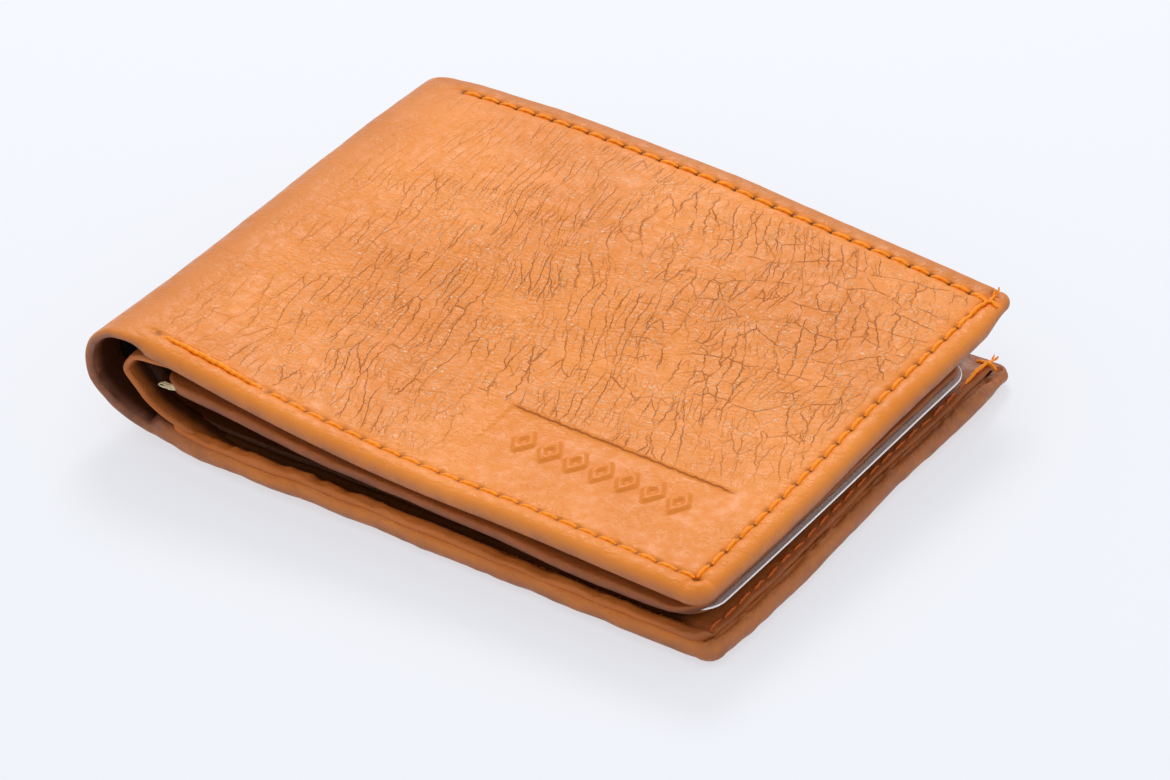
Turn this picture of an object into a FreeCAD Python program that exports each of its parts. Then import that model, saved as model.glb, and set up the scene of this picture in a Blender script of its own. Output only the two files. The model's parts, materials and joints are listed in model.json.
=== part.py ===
import FreeCAD, Part
import math
import os

os.makedirs("parts", exist_ok=True)

# A folding leather wallet, closed: two leaves joined by a rolled spine, with a page-like flap between them.
# +X runs from the spine to the free edges, +Y along the fold to the mouth of the bill compartment, +Z up.
# The origin is under the middle of the closed wallet. Millimetres and degrees.

# Driving dimensions of the closed wallet
LENGTH = 114.0            # from the outside of the spine to the free edges
WIDTH = 82.0              # along the fold
SPINE_HEIGHT = 19.6       # over the outside of the folded spine
FRONT_TILT = 1.8          # the front leaf slopes down to its free edge

# The spine is a chain of three flat sides. These are the turns at its four fold lines.
BACK_FOLD = 12.0          # first fold line, in from the outside of the spine
UPRIGHT_SIDE = 7.6        # height of the middle, upright side
FOLD_TURNS = (30.0, 60.0, 46.0, 44.0 + FRONT_TILT)
FOLD_GAP = 0.12           # play between two sides at a fold line

# Leather, board and cloth thicknesses
COVER = 0.8
TURNED_EDGE = 0.8         # the cover's border, turned in over the board
SPINE_TURNED_EDGE = 0.5   # the same border, skived thin to go round the spine
BORDER = 8.0              # width of a turned border
BILL_LINING = 0.3
BILL_GAP = 0.4            # the empty bill compartment, pressed flat
PANEL = 0.5
POCKET = 0.4
LOOP = 0.5                # lining loop inside the spine
LOOP_PLAY = 0.15          # from each end of a loop side to its fold line
CORNER = 2.0              # corner radius of the leaves

# How far each inner layer stands back from the edge of what is round it
BOARD_PLAY = 0.3
LINING_INSET = 1.0
PANEL_INSET = 0.6         # at the near and free edges
PANEL_MOUTH_INSET = 3.0   # at the mouth of the bill compartment
PAST = 1.0                # how far a cutting shape reaches past what it cuts

# Card pockets take cards 85.6 by 54
POCKET_FOOT = 5.0         # bottom of the pockets, in from the near edge
POCKET_MOUTHS = (62.0, 50.0, 38.0)
POCKET_INSET = 2.0        # from the spine's end of the panel, and round the flap
POCKET_SEAM = 1.5         # seam line, in from the pocket's side
POCKET_SEAM_END = 1.0     # the seam stops short of the pocket's mouth

# Sewing
SEAM_INSET = 3.5          # seam line, in from the edge
THREAD_WIDTH = 0.6
THREAD_DEPTH = 0.3
SEAM_START = 13.5         # first stitch, from the outside of the spine
THREAD_LAG = 1.0          # the inner thread starts this much later

# Debossed panel on the front cover: distances from the spine's outside and from the near edge
EMBLEM_X = (65.5, 106.0)
EMBLEM_Y = (5.0, 18.5)
EMBLEM_DEPTH = 0.25

# Centre flap
FLAP_HINGE = (8.3, 11.4)  # hinge line, from the spine's outside and above the floor
FLAP_SLOPE = 2.1
FLAP_END = 111.0          # free edge, from the spine's outside
FLAP_Y = (1.5, 73.0)      # near and far edges, from the leaves' near edge
FLAP_CORNER = 6.0
FLAP_MARGIN = 5.0         # from the hinge line to the flap's own layers
FLAP_STRIP = 11.0         # how far the hinge strip reaches into the flap
STRIP_INSET = 1.0         # the strip and the pockets, in from the flap's near edge
FLAP_POCKET_MOUTHS = (56.0, 44.0)
WINDOW_MARGIN = 9.0
FILM = 0.25

# Lining loop inside the spine: its corners, from the spine's outside and above the floor
LOOP_CORNERS = ((11.6, 4.4), (6.8, 10.5), (6.8, 12.4), (11.0, 17.0))
LOOP_Y = (1.0, WIDTH - 3.0)
TAB_PLAY = 0.1            # the flap's tab stands back from the loop's folds

NEAR = -WIDTH / 2.0
OUTSIDE = -LENGTH / 2.0


def radians_sum(count):
    """Direction of the spine's side that follows so many folds, going from the back leaf to the front."""
    return math.radians(180.0 - sum(FOLD_TURNS[:count]))


def step(point, direction, distance):
    """A point (x, z) moved along a direction in the XZ plane."""
    return (point[0] + distance * math.cos(direction), point[1] + distance * math.sin(direction))


class Frame:
    """A sheet's own axes: u along it, y along the fold, h into the wallet from its outer face."""

    def __init__(self, origin, direction, inward):
        self.origin = origin
        self.inward = inward
        self.u = (math.cos(direction), math.sin(direction))
        self.h = (-inward * self.u[1], inward * self.u[0])

    def point(self, u, y, h):
        x = self.origin[0] + u * self.u[0] + h * self.h[0]
        z = self.origin[1] + u * self.u[1] + h * self.h[1]
        return FreeCAD.Vector(x, NEAR + y, z)

    def vector(self, h):
        return FreeCAD.Vector(h * self.h[0], 0, h * self.h[1])


def solid(face, along):
    """The solid swept by a face, turned right side out."""
    made = face.extrude(along)
    if made.Volume < 0:
        made.reverse()
    return made


def slab(frame, u, y, h, corner=0.0):
    """A flat sheet over the ranges u, y and h, with both corners at its far end rounded."""
    def at(along, across):
        return frame.point(along, across, h[0])

    if corner <= 0:
        corners = [at(u[0], y[0]), at(u[1], y[0]), at(u[1], y[1]), at(u[0], y[1])]
        rim = Part.makePolygon(corners + corners[:1])
    else:
        cut = corner * (1.0 - math.sqrt(0.5))
        rim = Part.Wire([
            Part.makeLine(at(u[0], y[0]), at(u[1] - corner, y[0])),
            Part.Arc(at(u[1] - corner, y[0]), at(u[1] - cut, y[0] + cut), at(u[1], y[0] + corner)).toShape(),
            Part.makeLine(at(u[1], y[0] + corner), at(u[1], y[1] - corner)),
            Part.Arc(at(u[1], y[1] - corner), at(u[1] - cut, y[1] - cut), at(u[1] - corner, y[1])).toShape(),
            Part.makeLine(at(u[1] - corner, y[1]), at(u[0], y[1])),
            Part.makeLine(at(u[0], y[1]), at(u[0], y[0])),
        ])
    return solid(Part.Face(rim), frame.vector(h[1] - h[0]))


def profile(frame, corners, y):
    """A prism along the fold, from its (u, h) corners."""
    points = [frame.point(u, y[0], h) for u, h in corners]
    face = Part.Face(Part.makePolygon(points + points[:1]))
    return solid(face, FreeCAD.Vector(0, y[1] - y[0], 0))


def mitre(turn, h):
    """How far a sheet's end stands back from its fold line at depth h, so that two sheets meet closed."""
    return FOLD_GAP / 2.0 + h * math.tan(math.radians(turn) / 2.0)


# Fold lines on the outer face of the closed spine, as (x, z)
spine_sides = [radians_sum(1), radians_sum(2), radians_sum(3)]
fold_1 = (OUTSIDE + BACK_FOLD, 0.0)
fold_2 = step(fold_1, spine_sides[0], BACK_FOLD / -math.cos(spine_sides[0]))
fold_3 = step(fold_2, spine_sides[1], UPRIGHT_SIDE)
fold_4 = step(fold_3, spine_sides[2], (SPINE_HEIGHT - fold_3[1]) / math.sin(spine_sides[2]))
folds = [fold_1, fold_2, fold_3, fold_4]

BACK = Frame(fold_1, 0.0, 1)
FRONT = Frame(fold_4, math.radians(-FRONT_TILT), -1)
flap_origin = (OUTSIDE + FLAP_HINGE[0], FLAP_HINGE[1])
FLAP = Frame(flap_origin, math.radians(-FLAP_SLOPE), -1)

leaf_length = {
    "back": LENGTH / 2.0 - fold_1[0],
    "front": (LENGTH / 2.0 - fold_4[0]) / math.cos(math.radians(FRONT_TILT)),
}
nodes = {}


def cover(frame, length, turn):
    """A leaf's leather: the outer sheet with its near, free and far borders turned in."""
    wide = (0.0, WIDTH)
    sheet_ends = [(mitre(turn, 0), 0), (length, 0), (length, COVER), (mitre(turn, COVER), COVER)]
    rim_depth = (0.0, COVER + TURNED_EDGE)
    outline = slab(frame, (0.0, length), wide, rim_depth, CORNER)
    start = mitre(turn, rim_depth[1])
    border = slab(frame, (start, length), wide, (COVER, rim_depth[1]))
    inside = slab(frame, (start - PAST, length - BORDER), (BORDER, WIDTH - BORDER), (COVER, rim_depth[1]))
    leather = profile(frame, sheet_ends, wide).fuse(border.cut(inside))
    return leather.common(outline).removeSplitter()


def seam_line(position):
    """The range that a thread covers across its own line."""
    return (position - THREAD_WIDTH / 2.0, position + THREAD_WIDTH / 2.0)


def leaf(name, frame, turn, pocket_names):
    """All the pieces of one leaf, from its outer face inwards."""
    length = leaf_length[name]
    start = OUTSIDE + SEAM_START - frame.origin[0]
    board_edge = BORDER + BOARD_PLAY
    depth = COVER + TURNED_EDGE
    leather = cover(frame, length, turn)
    board = slab(frame, (start, length - board_edge), (board_edge, WIDTH - board_edge), (COVER, depth))
    lining_y = (LINING_INSET, WIDTH - LINING_INSET)
    lining = slab(frame, (start, length - LINING_INSET), lining_y, (depth, depth + BILL_LINING), CORNER)
    depth += BILL_LINING

    # The inner panel stands off by the bill compartment and is sewn down along its near and free borders
    panel_u = (start, length - PANEL_INSET)
    panel_y = (PANEL_INSET, WIDTH - PANEL_MOUTH_INSET)
    sewn = slab(frame, panel_u, panel_y, (depth, depth + BILL_GAP), CORNER)
    open_part = slab(frame, (start - PAST, length - BORDER), (BORDER, WIDTH), (depth, depth + BILL_GAP))
    depth += BILL_GAP
    panel = slab(frame, panel_u, panel_y, (depth, depth + PANEL), CORNER)
    panel = panel.fuse(sewn.cut(open_part)).removeSplitter()
    panel_face = depth + PANEL

    outer_depth = (0.0, THREAD_DEPTH)
    inner_depth = (panel_face - THREAD_DEPTH, panel_face)
    near_line = seam_line(SEAM_INSET)
    far_line = seam_line(WIDTH - SEAM_INSET)
    free_line = seam_line(length - SEAM_INSET)
    edge_thread = [
        slab(frame, (start, free_line[1]), near_line, outer_depth).fuse(
            slab(frame, free_line, (near_line[0], far_line[1]), outer_depth)).removeSplitter(),
        slab(frame, (start + THREAD_LAG, free_line[1]), near_line, inner_depth).fuse(
            slab(frame, free_line, (near_line[0], panel_y[1] - SEAM_INSET), inner_depth)).removeSplitter(),
    ]
    bill_thread = slab(frame, (start, free_line[0]), far_line, outer_depth)

    # Card pockets lie on each other like steps, the tallest next to the panel
    pocket_u = (start + POCKET_INSET, length - BORDER)
    pocket_thread = []
    steps = []
    face = panel_face
    for index, mouth in enumerate(POCKET_MOUTHS):
        pocket = slab(frame, pocket_u, (POCKET_FOOT, mouth), (face, face + POCKET))
        face += POCKET
        below = POCKET_MOUTHS[index + 1] if index + 1 < len(POCKET_MOUTHS) else POCKET_FOOT + POCKET_SEAM_END
        for side in (pocket_u[0] + POCKET_SEAM, pocket_u[1] - POCKET_SEAM):
            run = slab(frame, seam_line(side), (below, mouth - POCKET_SEAM_END), (face - THREAD_DEPTH, face))
            pocket = pocket.cut(run)
            pocket_thread.append(run)
        steps.append(pocket)

    leather = leather.cut(Part.makeCompound([edge_thread[0], bill_thread]))
    panel = panel.cut(edge_thread[1])
    if name == "front":
        emblem_u = [OUTSIDE + along - frame.origin[0] for along in EMBLEM_X]
        leather = leather.cut(slab(frame, emblem_u, EMBLEM_Y, (0.0, EMBLEM_DEPTH)))
    nodes[name + "_cover"] = leather
    nodes[name + "_stiffener_board"] = board
    nodes[name + "_bill_lining"] = lining
    nodes[name + "_inner_panel"] = panel
    for pocket_name, pocket in zip(pocket_names, steps):
        nodes[name + "_" + pocket_name] = pocket
    nodes[name + "_edge_stitching"] = Part.makeCompound(edge_thread)
    nodes[name + "_bill_stitching"] = bill_thread
    nodes[name + "_pocket_stitching"] = Part.makeCompound(pocket_thread)


def spine():
    """The three sides of the spine: outer leather with its turned edges, and the lining loop inside."""
    for index in range(3):
        start, end = folds[index], folds[index + 1]
        length = math.dist(start, end)
        frame = Frame(start, spine_sides[index], -1)
        turns = FOLD_TURNS[index:index + 2]

        def side(h0, h1, y):
            corners = [
                (mitre(turns[0], h0), h0),
                (length - mitre(turns[1], h0), h0),
                (length - mitre(turns[1], h1), h1),
                (mitre(turns[0], h1), h1),
            ]
            return profile(frame, corners, y)

        shell = side(0.0, COVER, (0.0, WIDTH))
        for y in ((0.0, BORDER), (WIDTH - BORDER, WIDTH)):
            shell = shell.fuse(side(COVER, COVER + SPINE_TURNED_EDGE, y))
        nodes["spine_shell_%d" % (index + 1)] = shell.removeSplitter()

    for index in range(3):
        start, end = [(OUTSIDE + x, z) for x, z in LOOP_CORNERS[index:index + 2]]
        frame = Frame(start, math.atan2(end[1] - start[1], end[0] - start[0]), 1)
        ends = (LOOP_PLAY, math.dist(start, end) - LOOP_PLAY)
        nodes["spine_lining_%d" % (index + 1)] = slab(frame, ends, LOOP_Y, (0.0, LOOP))


def centre_flap():
    """The page between the leaves: card pockets on its front, a clear window in a leather frame on its back."""
    end = (OUTSIDE + FLAP_END - flap_origin[0]) / math.cos(math.radians(FLAP_SLOPE))
    u = (FLAP_MARGIN, end)
    strip_half = POCKET / 2.0
    strip_y = (FLAP_Y[0] + STRIP_INSET, FLAP_Y[1])
    core = (-strip_half, strip_half)
    front_panel = (core[0] - POCKET, core[0])
    film = (core[1], core[1] + FILM)
    frame_depth = (film[1], film[1] + PANEL)

    panel = slab(FLAP, u, FLAP_Y, front_panel, FLAP_CORNER)
    rim = slab(FLAP, u, FLAP_Y, frame_depth, FLAP_CORNER)
    window_u = (u[0] + WINDOW_MARGIN, u[1] - WINDOW_MARGIN)
    window_y = (FLAP_Y[0] + WINDOW_MARGIN, FLAP_Y[1] - WINDOW_MARGIN)
    rim = rim.cut(slab(FLAP, window_u, window_y, (frame_depth[0] - PAST, frame_depth[1] + PAST)))

    seam_start = u[0] + POCKET_INSET
    seam_u = seam_line(end - SEAM_INSET)
    seam_y = (FLAP_Y[0] + SEAM_INSET, FLAP_Y[1] - SEAM_INSET)
    seam_depth = (frame_depth[1] - THREAD_DEPTH, frame_depth[1])
    runs = [
        slab(FLAP, (seam_start, seam_u[0]), seam_line(seam_y[0]), seam_depth),
        slab(FLAP, seam_u, (seam_y[0], seam_y[1] - FLAP_CORNER / 2.0), seam_depth),
        slab(FLAP, (seam_start, seam_u[0] - FLAP_CORNER / 2.0), seam_line(seam_y[1]), seam_depth),
    ]
    nodes["flap_window_frame"] = rim.cut(Part.makeCompound(runs))
    nodes["flap_stitching"] = Part.makeCompound(runs)
    nodes["flap_clear_window"] = slab(FLAP, u, FLAP_Y, film, FLAP_CORNER)
    nodes["flap_core"] = slab(FLAP, (FLAP_STRIP, end), FLAP_Y, core, FLAP_CORNER)
    nodes["flap_front_panel"] = panel
    nodes["flap_hinge_strip"] = slab(FLAP, (-strip_half, FLAP_STRIP), strip_y, core)

    face = front_panel[0]
    pocket_u = (u[0] + POCKET_INSET, end - POCKET_INSET)
    for index, mouth in enumerate(FLAP_POCKET_MOUTHS):
        pocket_y = (strip_y[0], mouth)
        name = "flap_card_pocket_%d" % (index + 1)
        nodes[name] = slab(FLAP, pocket_u, pocket_y, (face - POCKET, face))
        face -= POCKET

    # A tab on the lining loop carries the flap's hinge strip
    tab = Frame((OUTSIDE + LOOP_CORNERS[1][0], LOOP_CORNERS[1][1]), math.pi / 2.0, -1)
    tab_height = LOOP_CORNERS[2][1] - LOOP_CORNERS[1][1]
    nodes["flap_anchor_tab"] = slab(tab, (TAB_PLAY, tab_height - TAB_PLAY), strip_y, (0.0, LOOP))


leaf("back", BACK, FOLD_TURNS[0], ("card_pocket_1", "card_pocket_2", "card_pocket_3"))
leaf("front", FRONT, FOLD_TURNS[3], ("slip_pocket", "card_pocket_1", "card_pocket_2"))
spine()
centre_flap()

for name, shape in nodes.items():
    count = len(shape.Solids)
    if not shape.isValid() or count == 0:
        raise ValueError(name + " is not a sound solid")
    if count == 1:
        shape = shape.Solids[0]
    shape.exportStep("parts/%s.step" % name)
    print("%-26s %d solid(s) %8.1f mm3" % (name, count, shape.Volume))

for number, (x, z) in enumerate(folds, 1):
    print("fold_%d at x %.4f, z %.4f" % (number, x, z))
print("flap hinge at x %.4f, z %.4f" % flap_origin)
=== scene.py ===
import json
import math

import bpy
import numpy as np
from mathutils import Matrix, Vector


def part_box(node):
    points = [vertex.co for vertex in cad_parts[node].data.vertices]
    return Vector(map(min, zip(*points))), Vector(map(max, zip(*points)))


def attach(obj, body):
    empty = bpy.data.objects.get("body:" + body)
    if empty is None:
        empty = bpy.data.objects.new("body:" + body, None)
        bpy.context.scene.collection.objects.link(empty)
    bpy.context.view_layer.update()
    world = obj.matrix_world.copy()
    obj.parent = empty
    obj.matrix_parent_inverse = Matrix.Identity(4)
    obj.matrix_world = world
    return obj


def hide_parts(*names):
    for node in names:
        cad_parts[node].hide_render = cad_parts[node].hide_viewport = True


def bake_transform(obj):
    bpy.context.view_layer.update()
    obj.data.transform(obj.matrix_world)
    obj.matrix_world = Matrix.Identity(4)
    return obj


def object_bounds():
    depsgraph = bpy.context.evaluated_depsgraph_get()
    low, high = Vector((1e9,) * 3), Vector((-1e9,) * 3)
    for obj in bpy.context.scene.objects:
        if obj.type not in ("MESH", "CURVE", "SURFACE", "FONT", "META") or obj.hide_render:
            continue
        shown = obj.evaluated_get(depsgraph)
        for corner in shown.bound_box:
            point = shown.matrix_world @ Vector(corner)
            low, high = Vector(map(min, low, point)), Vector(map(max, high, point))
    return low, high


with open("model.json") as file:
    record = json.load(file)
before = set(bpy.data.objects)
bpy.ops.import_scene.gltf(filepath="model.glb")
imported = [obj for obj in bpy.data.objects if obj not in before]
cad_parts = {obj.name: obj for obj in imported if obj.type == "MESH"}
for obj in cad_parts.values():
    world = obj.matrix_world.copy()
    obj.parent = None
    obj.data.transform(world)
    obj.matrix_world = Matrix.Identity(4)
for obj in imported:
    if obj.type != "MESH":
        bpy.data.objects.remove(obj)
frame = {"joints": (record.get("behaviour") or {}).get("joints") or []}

cad_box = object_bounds()

# Everything below is worked out in millimetres, from the outside of the spine (x), from the near edge (y)
# and above the floor (z), and turned into metres in the frame's place when a mesh is made.
MM = 0.001
LOW, HIGH = np.array(cad_box[0]) / MM, np.array(cad_box[1]) / MM
WIDTH = HIGH[1] - LOW[1]
LENGTH = HIGH[0] - LOW[0]
CORNER_OF_FRAME = np.array([LOW[0], LOW[1], 0.0])

JOINTS = {joint["name"]: joint for joint in frame["joints"]}
TURNS = [JOINTS["fold_%d" % n]["range_deg"][1] for n in (1, 2, 3, 4)]


def joint_place(name):
    """A joint's axis as (x, z) in millimetres."""
    x, _, z = JOINTS[name]["pos_m"]
    return np.array([x / MM - LOW[0], z / MM])


FOLDS = [joint_place("fold_%d" % n) for n in (1, 2, 3, 4)]
FRONT_TILT = math.radians(sum(TURNS) - 180.0)

# Sewing and edges
PITCH = 3.5               # stitch pitch
SEAM = 3.5                # seam line, in from the edge
SEAM_START = 12.0         # first stitch, from the outside of the spine
LEAF_RIM = 3.0            # thickness of a leaf's rolled near and free edges
FAR_RIM = 1.7             # thickness of the cover's hem at the bill compartment
SPINE_RIM = 1.5           # thickness of the cover's edge in the spine
CORNER = 1.7              # corner radius of the sheets inside their rolled rims

# Depths of a leaf's layers, in from its outer face
BOARD = (0.9, 1.6)
BILL_CLOTH = (1.65, 1.9)
PANEL = (2.75, 3.35)
POCKET = 0.27
POCKET_MOUTHS = (62.0, 50.0, 38.0)

# Debossed panel of the front cover
EMBLEM_X = (64.5, 105.5)
EMBLEM_Y = (7.0, 21.8)


# ---------------------------------------------------------------- small helpers

def ease(x, low, high):
    """0 below low, 1 above high, and smooth between them."""
    t = np.clip((np.asarray(x, float) - low) / (high - low), 0.0, 1.0)
    return t * t * (3.0 - 2.0 * t)


def bump(x, centre, width):
    """A smooth hill of height 1."""
    return np.exp(-((np.asarray(x, float) - centre) / width) ** 2)


def noise(x, y, seed):
    """Smooth value noise between -1 and 1, one lattice cell to a unit."""
    table = np.random.default_rng(seed).random((97, 89)) * 2.0 - 1.0
    column, row = np.floor(x).astype(int), np.floor(y).astype(int)
    across, along = ease(x - column, 0.0, 1.0), ease(y - row, 0.0, 1.0)

    def corner(i, j):
        return table[(column + i) % 97, (row + j) % 89]

    low = corner(0, 0) * (1.0 - across) + corner(1, 0) * across
    high = corner(0, 1) * (1.0 - across) + corner(1, 1) * across
    return low * (1.0 - along) + high * along


def ripples(x, y, scale, seed, octaves=2):
    """Layered noise whose largest waves are about scale across."""
    total = 0.0
    for octave in range(octaves):
        finer = 2.0 ** octave
        total = total + noise(x * finer / scale, y * finer / scale, seed + octave) / finer
    return total


# ---------------------------------------------------------------- the closed shape

FRONT_DROP_X = (9.0, 14.0, 22.0, 32.0, 45.0, 60.0, 80.0, 100.0, 116.0)
FRONT_DROP_NEAR = (0.0, -0.5, -1.45, -2.7, -3.8, -4.5, -4.5, -4.3, -4.2)
FRONT_DROP_FAR = (2.5, 3.0, 3.3, 3.6, 3.65, 3.3, 1.7, 0.0, -1.4)


def curve_through(x, xs, ys):
    """A smooth curve through a few points."""
    x = np.asarray(x, float)
    slopes = np.gradient(np.array(ys), np.array(xs))
    slopes[0] = 0.0
    index = np.clip(np.searchsorted(xs, x) - 1, 0, len(xs) - 2)
    x0, x1 = np.array(xs)[index], np.array(xs)[index + 1]
    y0, y1 = np.array(ys)[index], np.array(ys)[index + 1]
    span = x1 - x0
    t = np.clip((x - x0) / span, 0.0, 1.0)
    return ((1 + 2 * t) * (1 - t) ** 2 * y0 + t * (1 - t) ** 2 * span * slopes[index]
            + t * t * (3 - 2 * t) * y1 + t * t * (t - 1) * span * slopes[index + 1])


def front_drop(x, y):
    """How far the front leaf is off its plane: the near edge is pressed down, the far edge stands up."""
    near = curve_through(x, FRONT_DROP_X, FRONT_DROP_NEAR)
    far = curve_through(x, FRONT_DROP_X, FRONT_DROP_FAR)
    share = ease(y, 10.0, 76.0)
    return near * (1.0 - share) + far * share


def back_lift(x, y):
    """How far the back leaf's spine end and its near edge rise off the floor."""
    near = 1.0 - ease(y, 0.0, 45.0)
    spine_end = 1.0 * bump(x, 13.0, 7.0) * ease(x, 2.0, 9.0) * near
    crumples = 0.45 * bump(x, 42.0, 5.0) + 0.3 * bump(x, 54.0, 4.0) + 0.3 * bump(x, 28.0, 5.0)
    crumple = crumples * bump(y, 0.0, 9.0)
    corner = 0.6 * ease(x, 95.0, 114.0) * ease(y, 60.0, 82.0)
    return spine_end + crumple + corner


def quadratic(p0, p1, p2, t):
    """A point on the bend from p0 to p2 that is pulled towards p1."""
    return (1 - t) ** 2 * p0 + 2 * t * (1 - t) * p1 + t * t * p2


def rounded_path(control, samples=240):
    """A smooth path (x, z) bent round its control points, the distance along it, and where its bends join."""
    middles = [(a + b) / 2.0 for a, b in zip(control[1:-2], control[2:-1])]
    ends = [control[0]] + middles + [control[-1]]
    t = np.linspace(0.0, 1.0, samples)[:, None]
    parts = [quadratic(a, c, b, t) for a, c, b in zip(ends[:-1], control[1:-1], ends[1:])]
    points = np.concatenate([parts[0]] + [part[1:] for part in parts[1:]])
    distance = np.concatenate([[0.0], np.cumsum(np.linalg.norm(np.diff(points, axis=0), axis=1))])
    joins = distance[:: samples - 1]
    return points, distance, joins


def direction(angle):
    """The unit vector at an angle."""
    return np.array([math.cos(angle), math.sin(angle)])


class Path:
    """A sheet's line across the folds; d is the distance along it, and depth runs towards the inside."""

    def __init__(self, control, before, after):
        self.points, self.distance, self.joins = rounded_path(control)
        first_way = control[0] - control[1]
        last_way = control[-1] - control[-2]
        first = self.points[0] + before * first_way / np.linalg.norm(first_way)
        last = self.points[-1] + after * last_way / np.linalg.norm(last_way)
        self.points = np.concatenate([[first], self.points, [last]])
        self.distance = np.concatenate([[0.0], self.distance + before, [self.distance[-1] + before + after]])
        self.joins = self.joins + before
        self.end = self.distance[-1]
        tangent = np.gradient(self.points, self.distance, axis=0)
        tangent /= np.linalg.norm(tangent, axis=1)[:, None]
        self.inward = np.stack([tangent[:, 1], -tangent[:, 0]], axis=1)

    def at(self, d, y, depth):
        d, y, depth = np.broadcast_arrays(np.asarray(d, float), y, depth)
        x, z = (np.interp(d, self.distance, self.points[:, k]) for k in (0, 1))
        nx, nz = (np.interp(d, self.distance, self.inward[:, k]) for k in (0, 1))
        return np.stack([x + depth * nx, y, z + depth * nz], axis=-1)


# The cover runs from the back leaf's free edge (d = 0), round the spine, to the front leaf's free edge
BACK_FLAT = 8.0           # where the back leaf starts to bend, from its fold line
FRONT_FLAT = 5.0
front_way = direction(-FRONT_TILT)
front_length = (LENGTH - FOLDS[3][0]) / math.cos(FRONT_TILT)
back_start = FOLDS[0] + np.array([BACK_FLAT, 0.0])
front_start = FOLDS[3] + FRONT_FLAT * front_way
COVER = Path([back_start] + FOLDS + [front_start], LENGTH - back_start[0], front_length - FRONT_FLAT)
MIDDLE = COVER.joins[2]   # the distance of the spine's upright middle


def settle(points, upper):
    """Moves points of a flat leaf or of the spine to where the used, soft wallet really has them."""
    x, y, z = (points[..., k] for k in range(3))
    in_spine = 1.0 - ease(x, 9.0, 14.0)
    share = np.where(upper, 1.0 - in_spine, 0.0) + ease(z, 3.0, 17.0) * in_spine
    drop = share * front_drop(x, y) + (1.0 - share) * back_lift(x, y)
    seed = np.where(upper, 0.0, 40.0)
    moved = points.copy()
    moved[..., 2] += drop
    away = ease(x, 8.0, 30.0)
    moved[..., 1] += away * 0.35 * noise(x / 27.0 + seed, y / 60.0, 5)
    moved[..., 0] += away * 0.3 * noise(x / 60.0 + seed, y / 23.0, 9)
    pulled = ease(x, 84.0, 114.0) * (1.0 - ease(y, 6.0, 55.0))
    moved[..., 0] += np.where(upper, 0.0, 1.7 * pulled)
    return moved


def cover_point(d, y, depth):
    """A point of the cover, or of the layers under it, in millimetres."""
    d = np.asarray(d, float)
    return settle(COVER.at(d, y, depth), np.broadcast_to(d > MIDDLE, np.broadcast(d, y, depth).shape))


def front_d(x):
    """Distance along the cover of the front leaf's point at x."""
    return COVER.end - (LENGTH - x) / math.cos(FRONT_TILT)


# ---------------------------------------------------------------- meshes

class Mesh:
    """Collects grids of points, each with its place on the flat sheet and its surface zone."""

    def __init__(self):
        self.points, self.flat, self.zone = [], [], []
        self.faces, self.materials = [], []
        self.count = 0

    def add(self, points, flat, zone=0.0):
        """Adds an array of points and returns their numbers. zone is (crease, cross crease, darkness), the
        darkness being painted shade.
        """
        shape = points.shape[:-1]
        numbers = np.arange(self.count, self.count + int(np.prod(shape))).reshape(shape)
        self.count += numbers.size
        self.points.append(points.reshape(-1, 3))
        self.flat.append(np.broadcast_to(flat, points.shape).reshape(-1, 3))
        self.zone.append(np.broadcast_to(zone, points.shape).reshape(-1, 3))
        return numbers

    def skin(self, rows, material=0, wrap=False, swap=False):
        """Fills quads between a grid's points."""
        if wrap:
            rows = np.concatenate([rows, rows[:, :1]], axis=1)
        a, b, c, d = rows[:-1, :-1], rows[1:, :-1], rows[1:, 1:], rows[:-1, 1:]
        order = (a, d, c, b) if swap else (a, b, c, d)
        quads = np.stack([part.ravel() for part in order], axis=1)
        self.faces.append(quads)
        self.materials.append(np.full(len(quads), material))

    def build(self, name, materials, flip=False):
        """Makes the object, with its "flat" and "zone" attributes."""
        points = np.concatenate(self.points) + CORNER_OF_FRAME
        faces = np.concatenate(self.faces)
        if flip:
            faces = faces[:, ::-1]
        mesh = bpy.data.meshes.new(name)
        mesh.vertices.add(len(points))
        mesh.vertices.foreach_set("co", (points * MM).astype(np.float32).ravel())
        mesh.loops.add(faces.size)
        mesh.loops.foreach_set("vertex_index", faces.astype(np.int32).ravel())
        mesh.polygons.add(len(faces))
        mesh.polygons.foreach_set("loop_start", np.arange(0, faces.size, 4, dtype=np.int32))
        mesh.polygons.foreach_set("material_index", np.concatenate(self.materials).astype(np.int32))
        mesh.update(calc_edges=True)
        for label, values in (("flat", self.flat), ("zone", self.zone)):
            attribute = mesh.attributes.new(label, "FLOAT_VECTOR", "POINT")
            attribute.data.foreach_set("vector", np.concatenate(values).astype(np.float32).ravel())
        for material in materials:
            mesh.materials.append(material)
        mesh.validate()
        mesh.shade_smooth()
        piece = bpy.data.objects.new(name, mesh)
        bpy.context.scene.collection.objects.link(piece)
        return piece


def rounded_grid(low, high, corner, closed):
    """A grid over a rectangle (u, y) whose corners at high u, and at low u too when closed, are rounded."""
    u, y = np.meshgrid(low, high, indexing="ij")
    for end in ((u[-1, 0], 1.0), (u[0, 0], -1.0 if closed else 0.0)):
        for side in ((y[0, 0], -1.0), (y[0, -1], 1.0)):
            if end[1] == 0.0:
                continue
            a = np.clip(1.0 - (end[0] - u) * end[1] / corner, 0.0, 1.0)
            b = np.clip(1.0 - (side[0] - y) * side[1] / corner, 0.0, 1.0)
            u = u + end[1] * corner * (a * np.sqrt(1.0 - b * b / 2.0) - a)
            y = y + side[1] * corner * (b * np.sqrt(1.0 - a * a / 2.0) - b)
    return u, y


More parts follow.
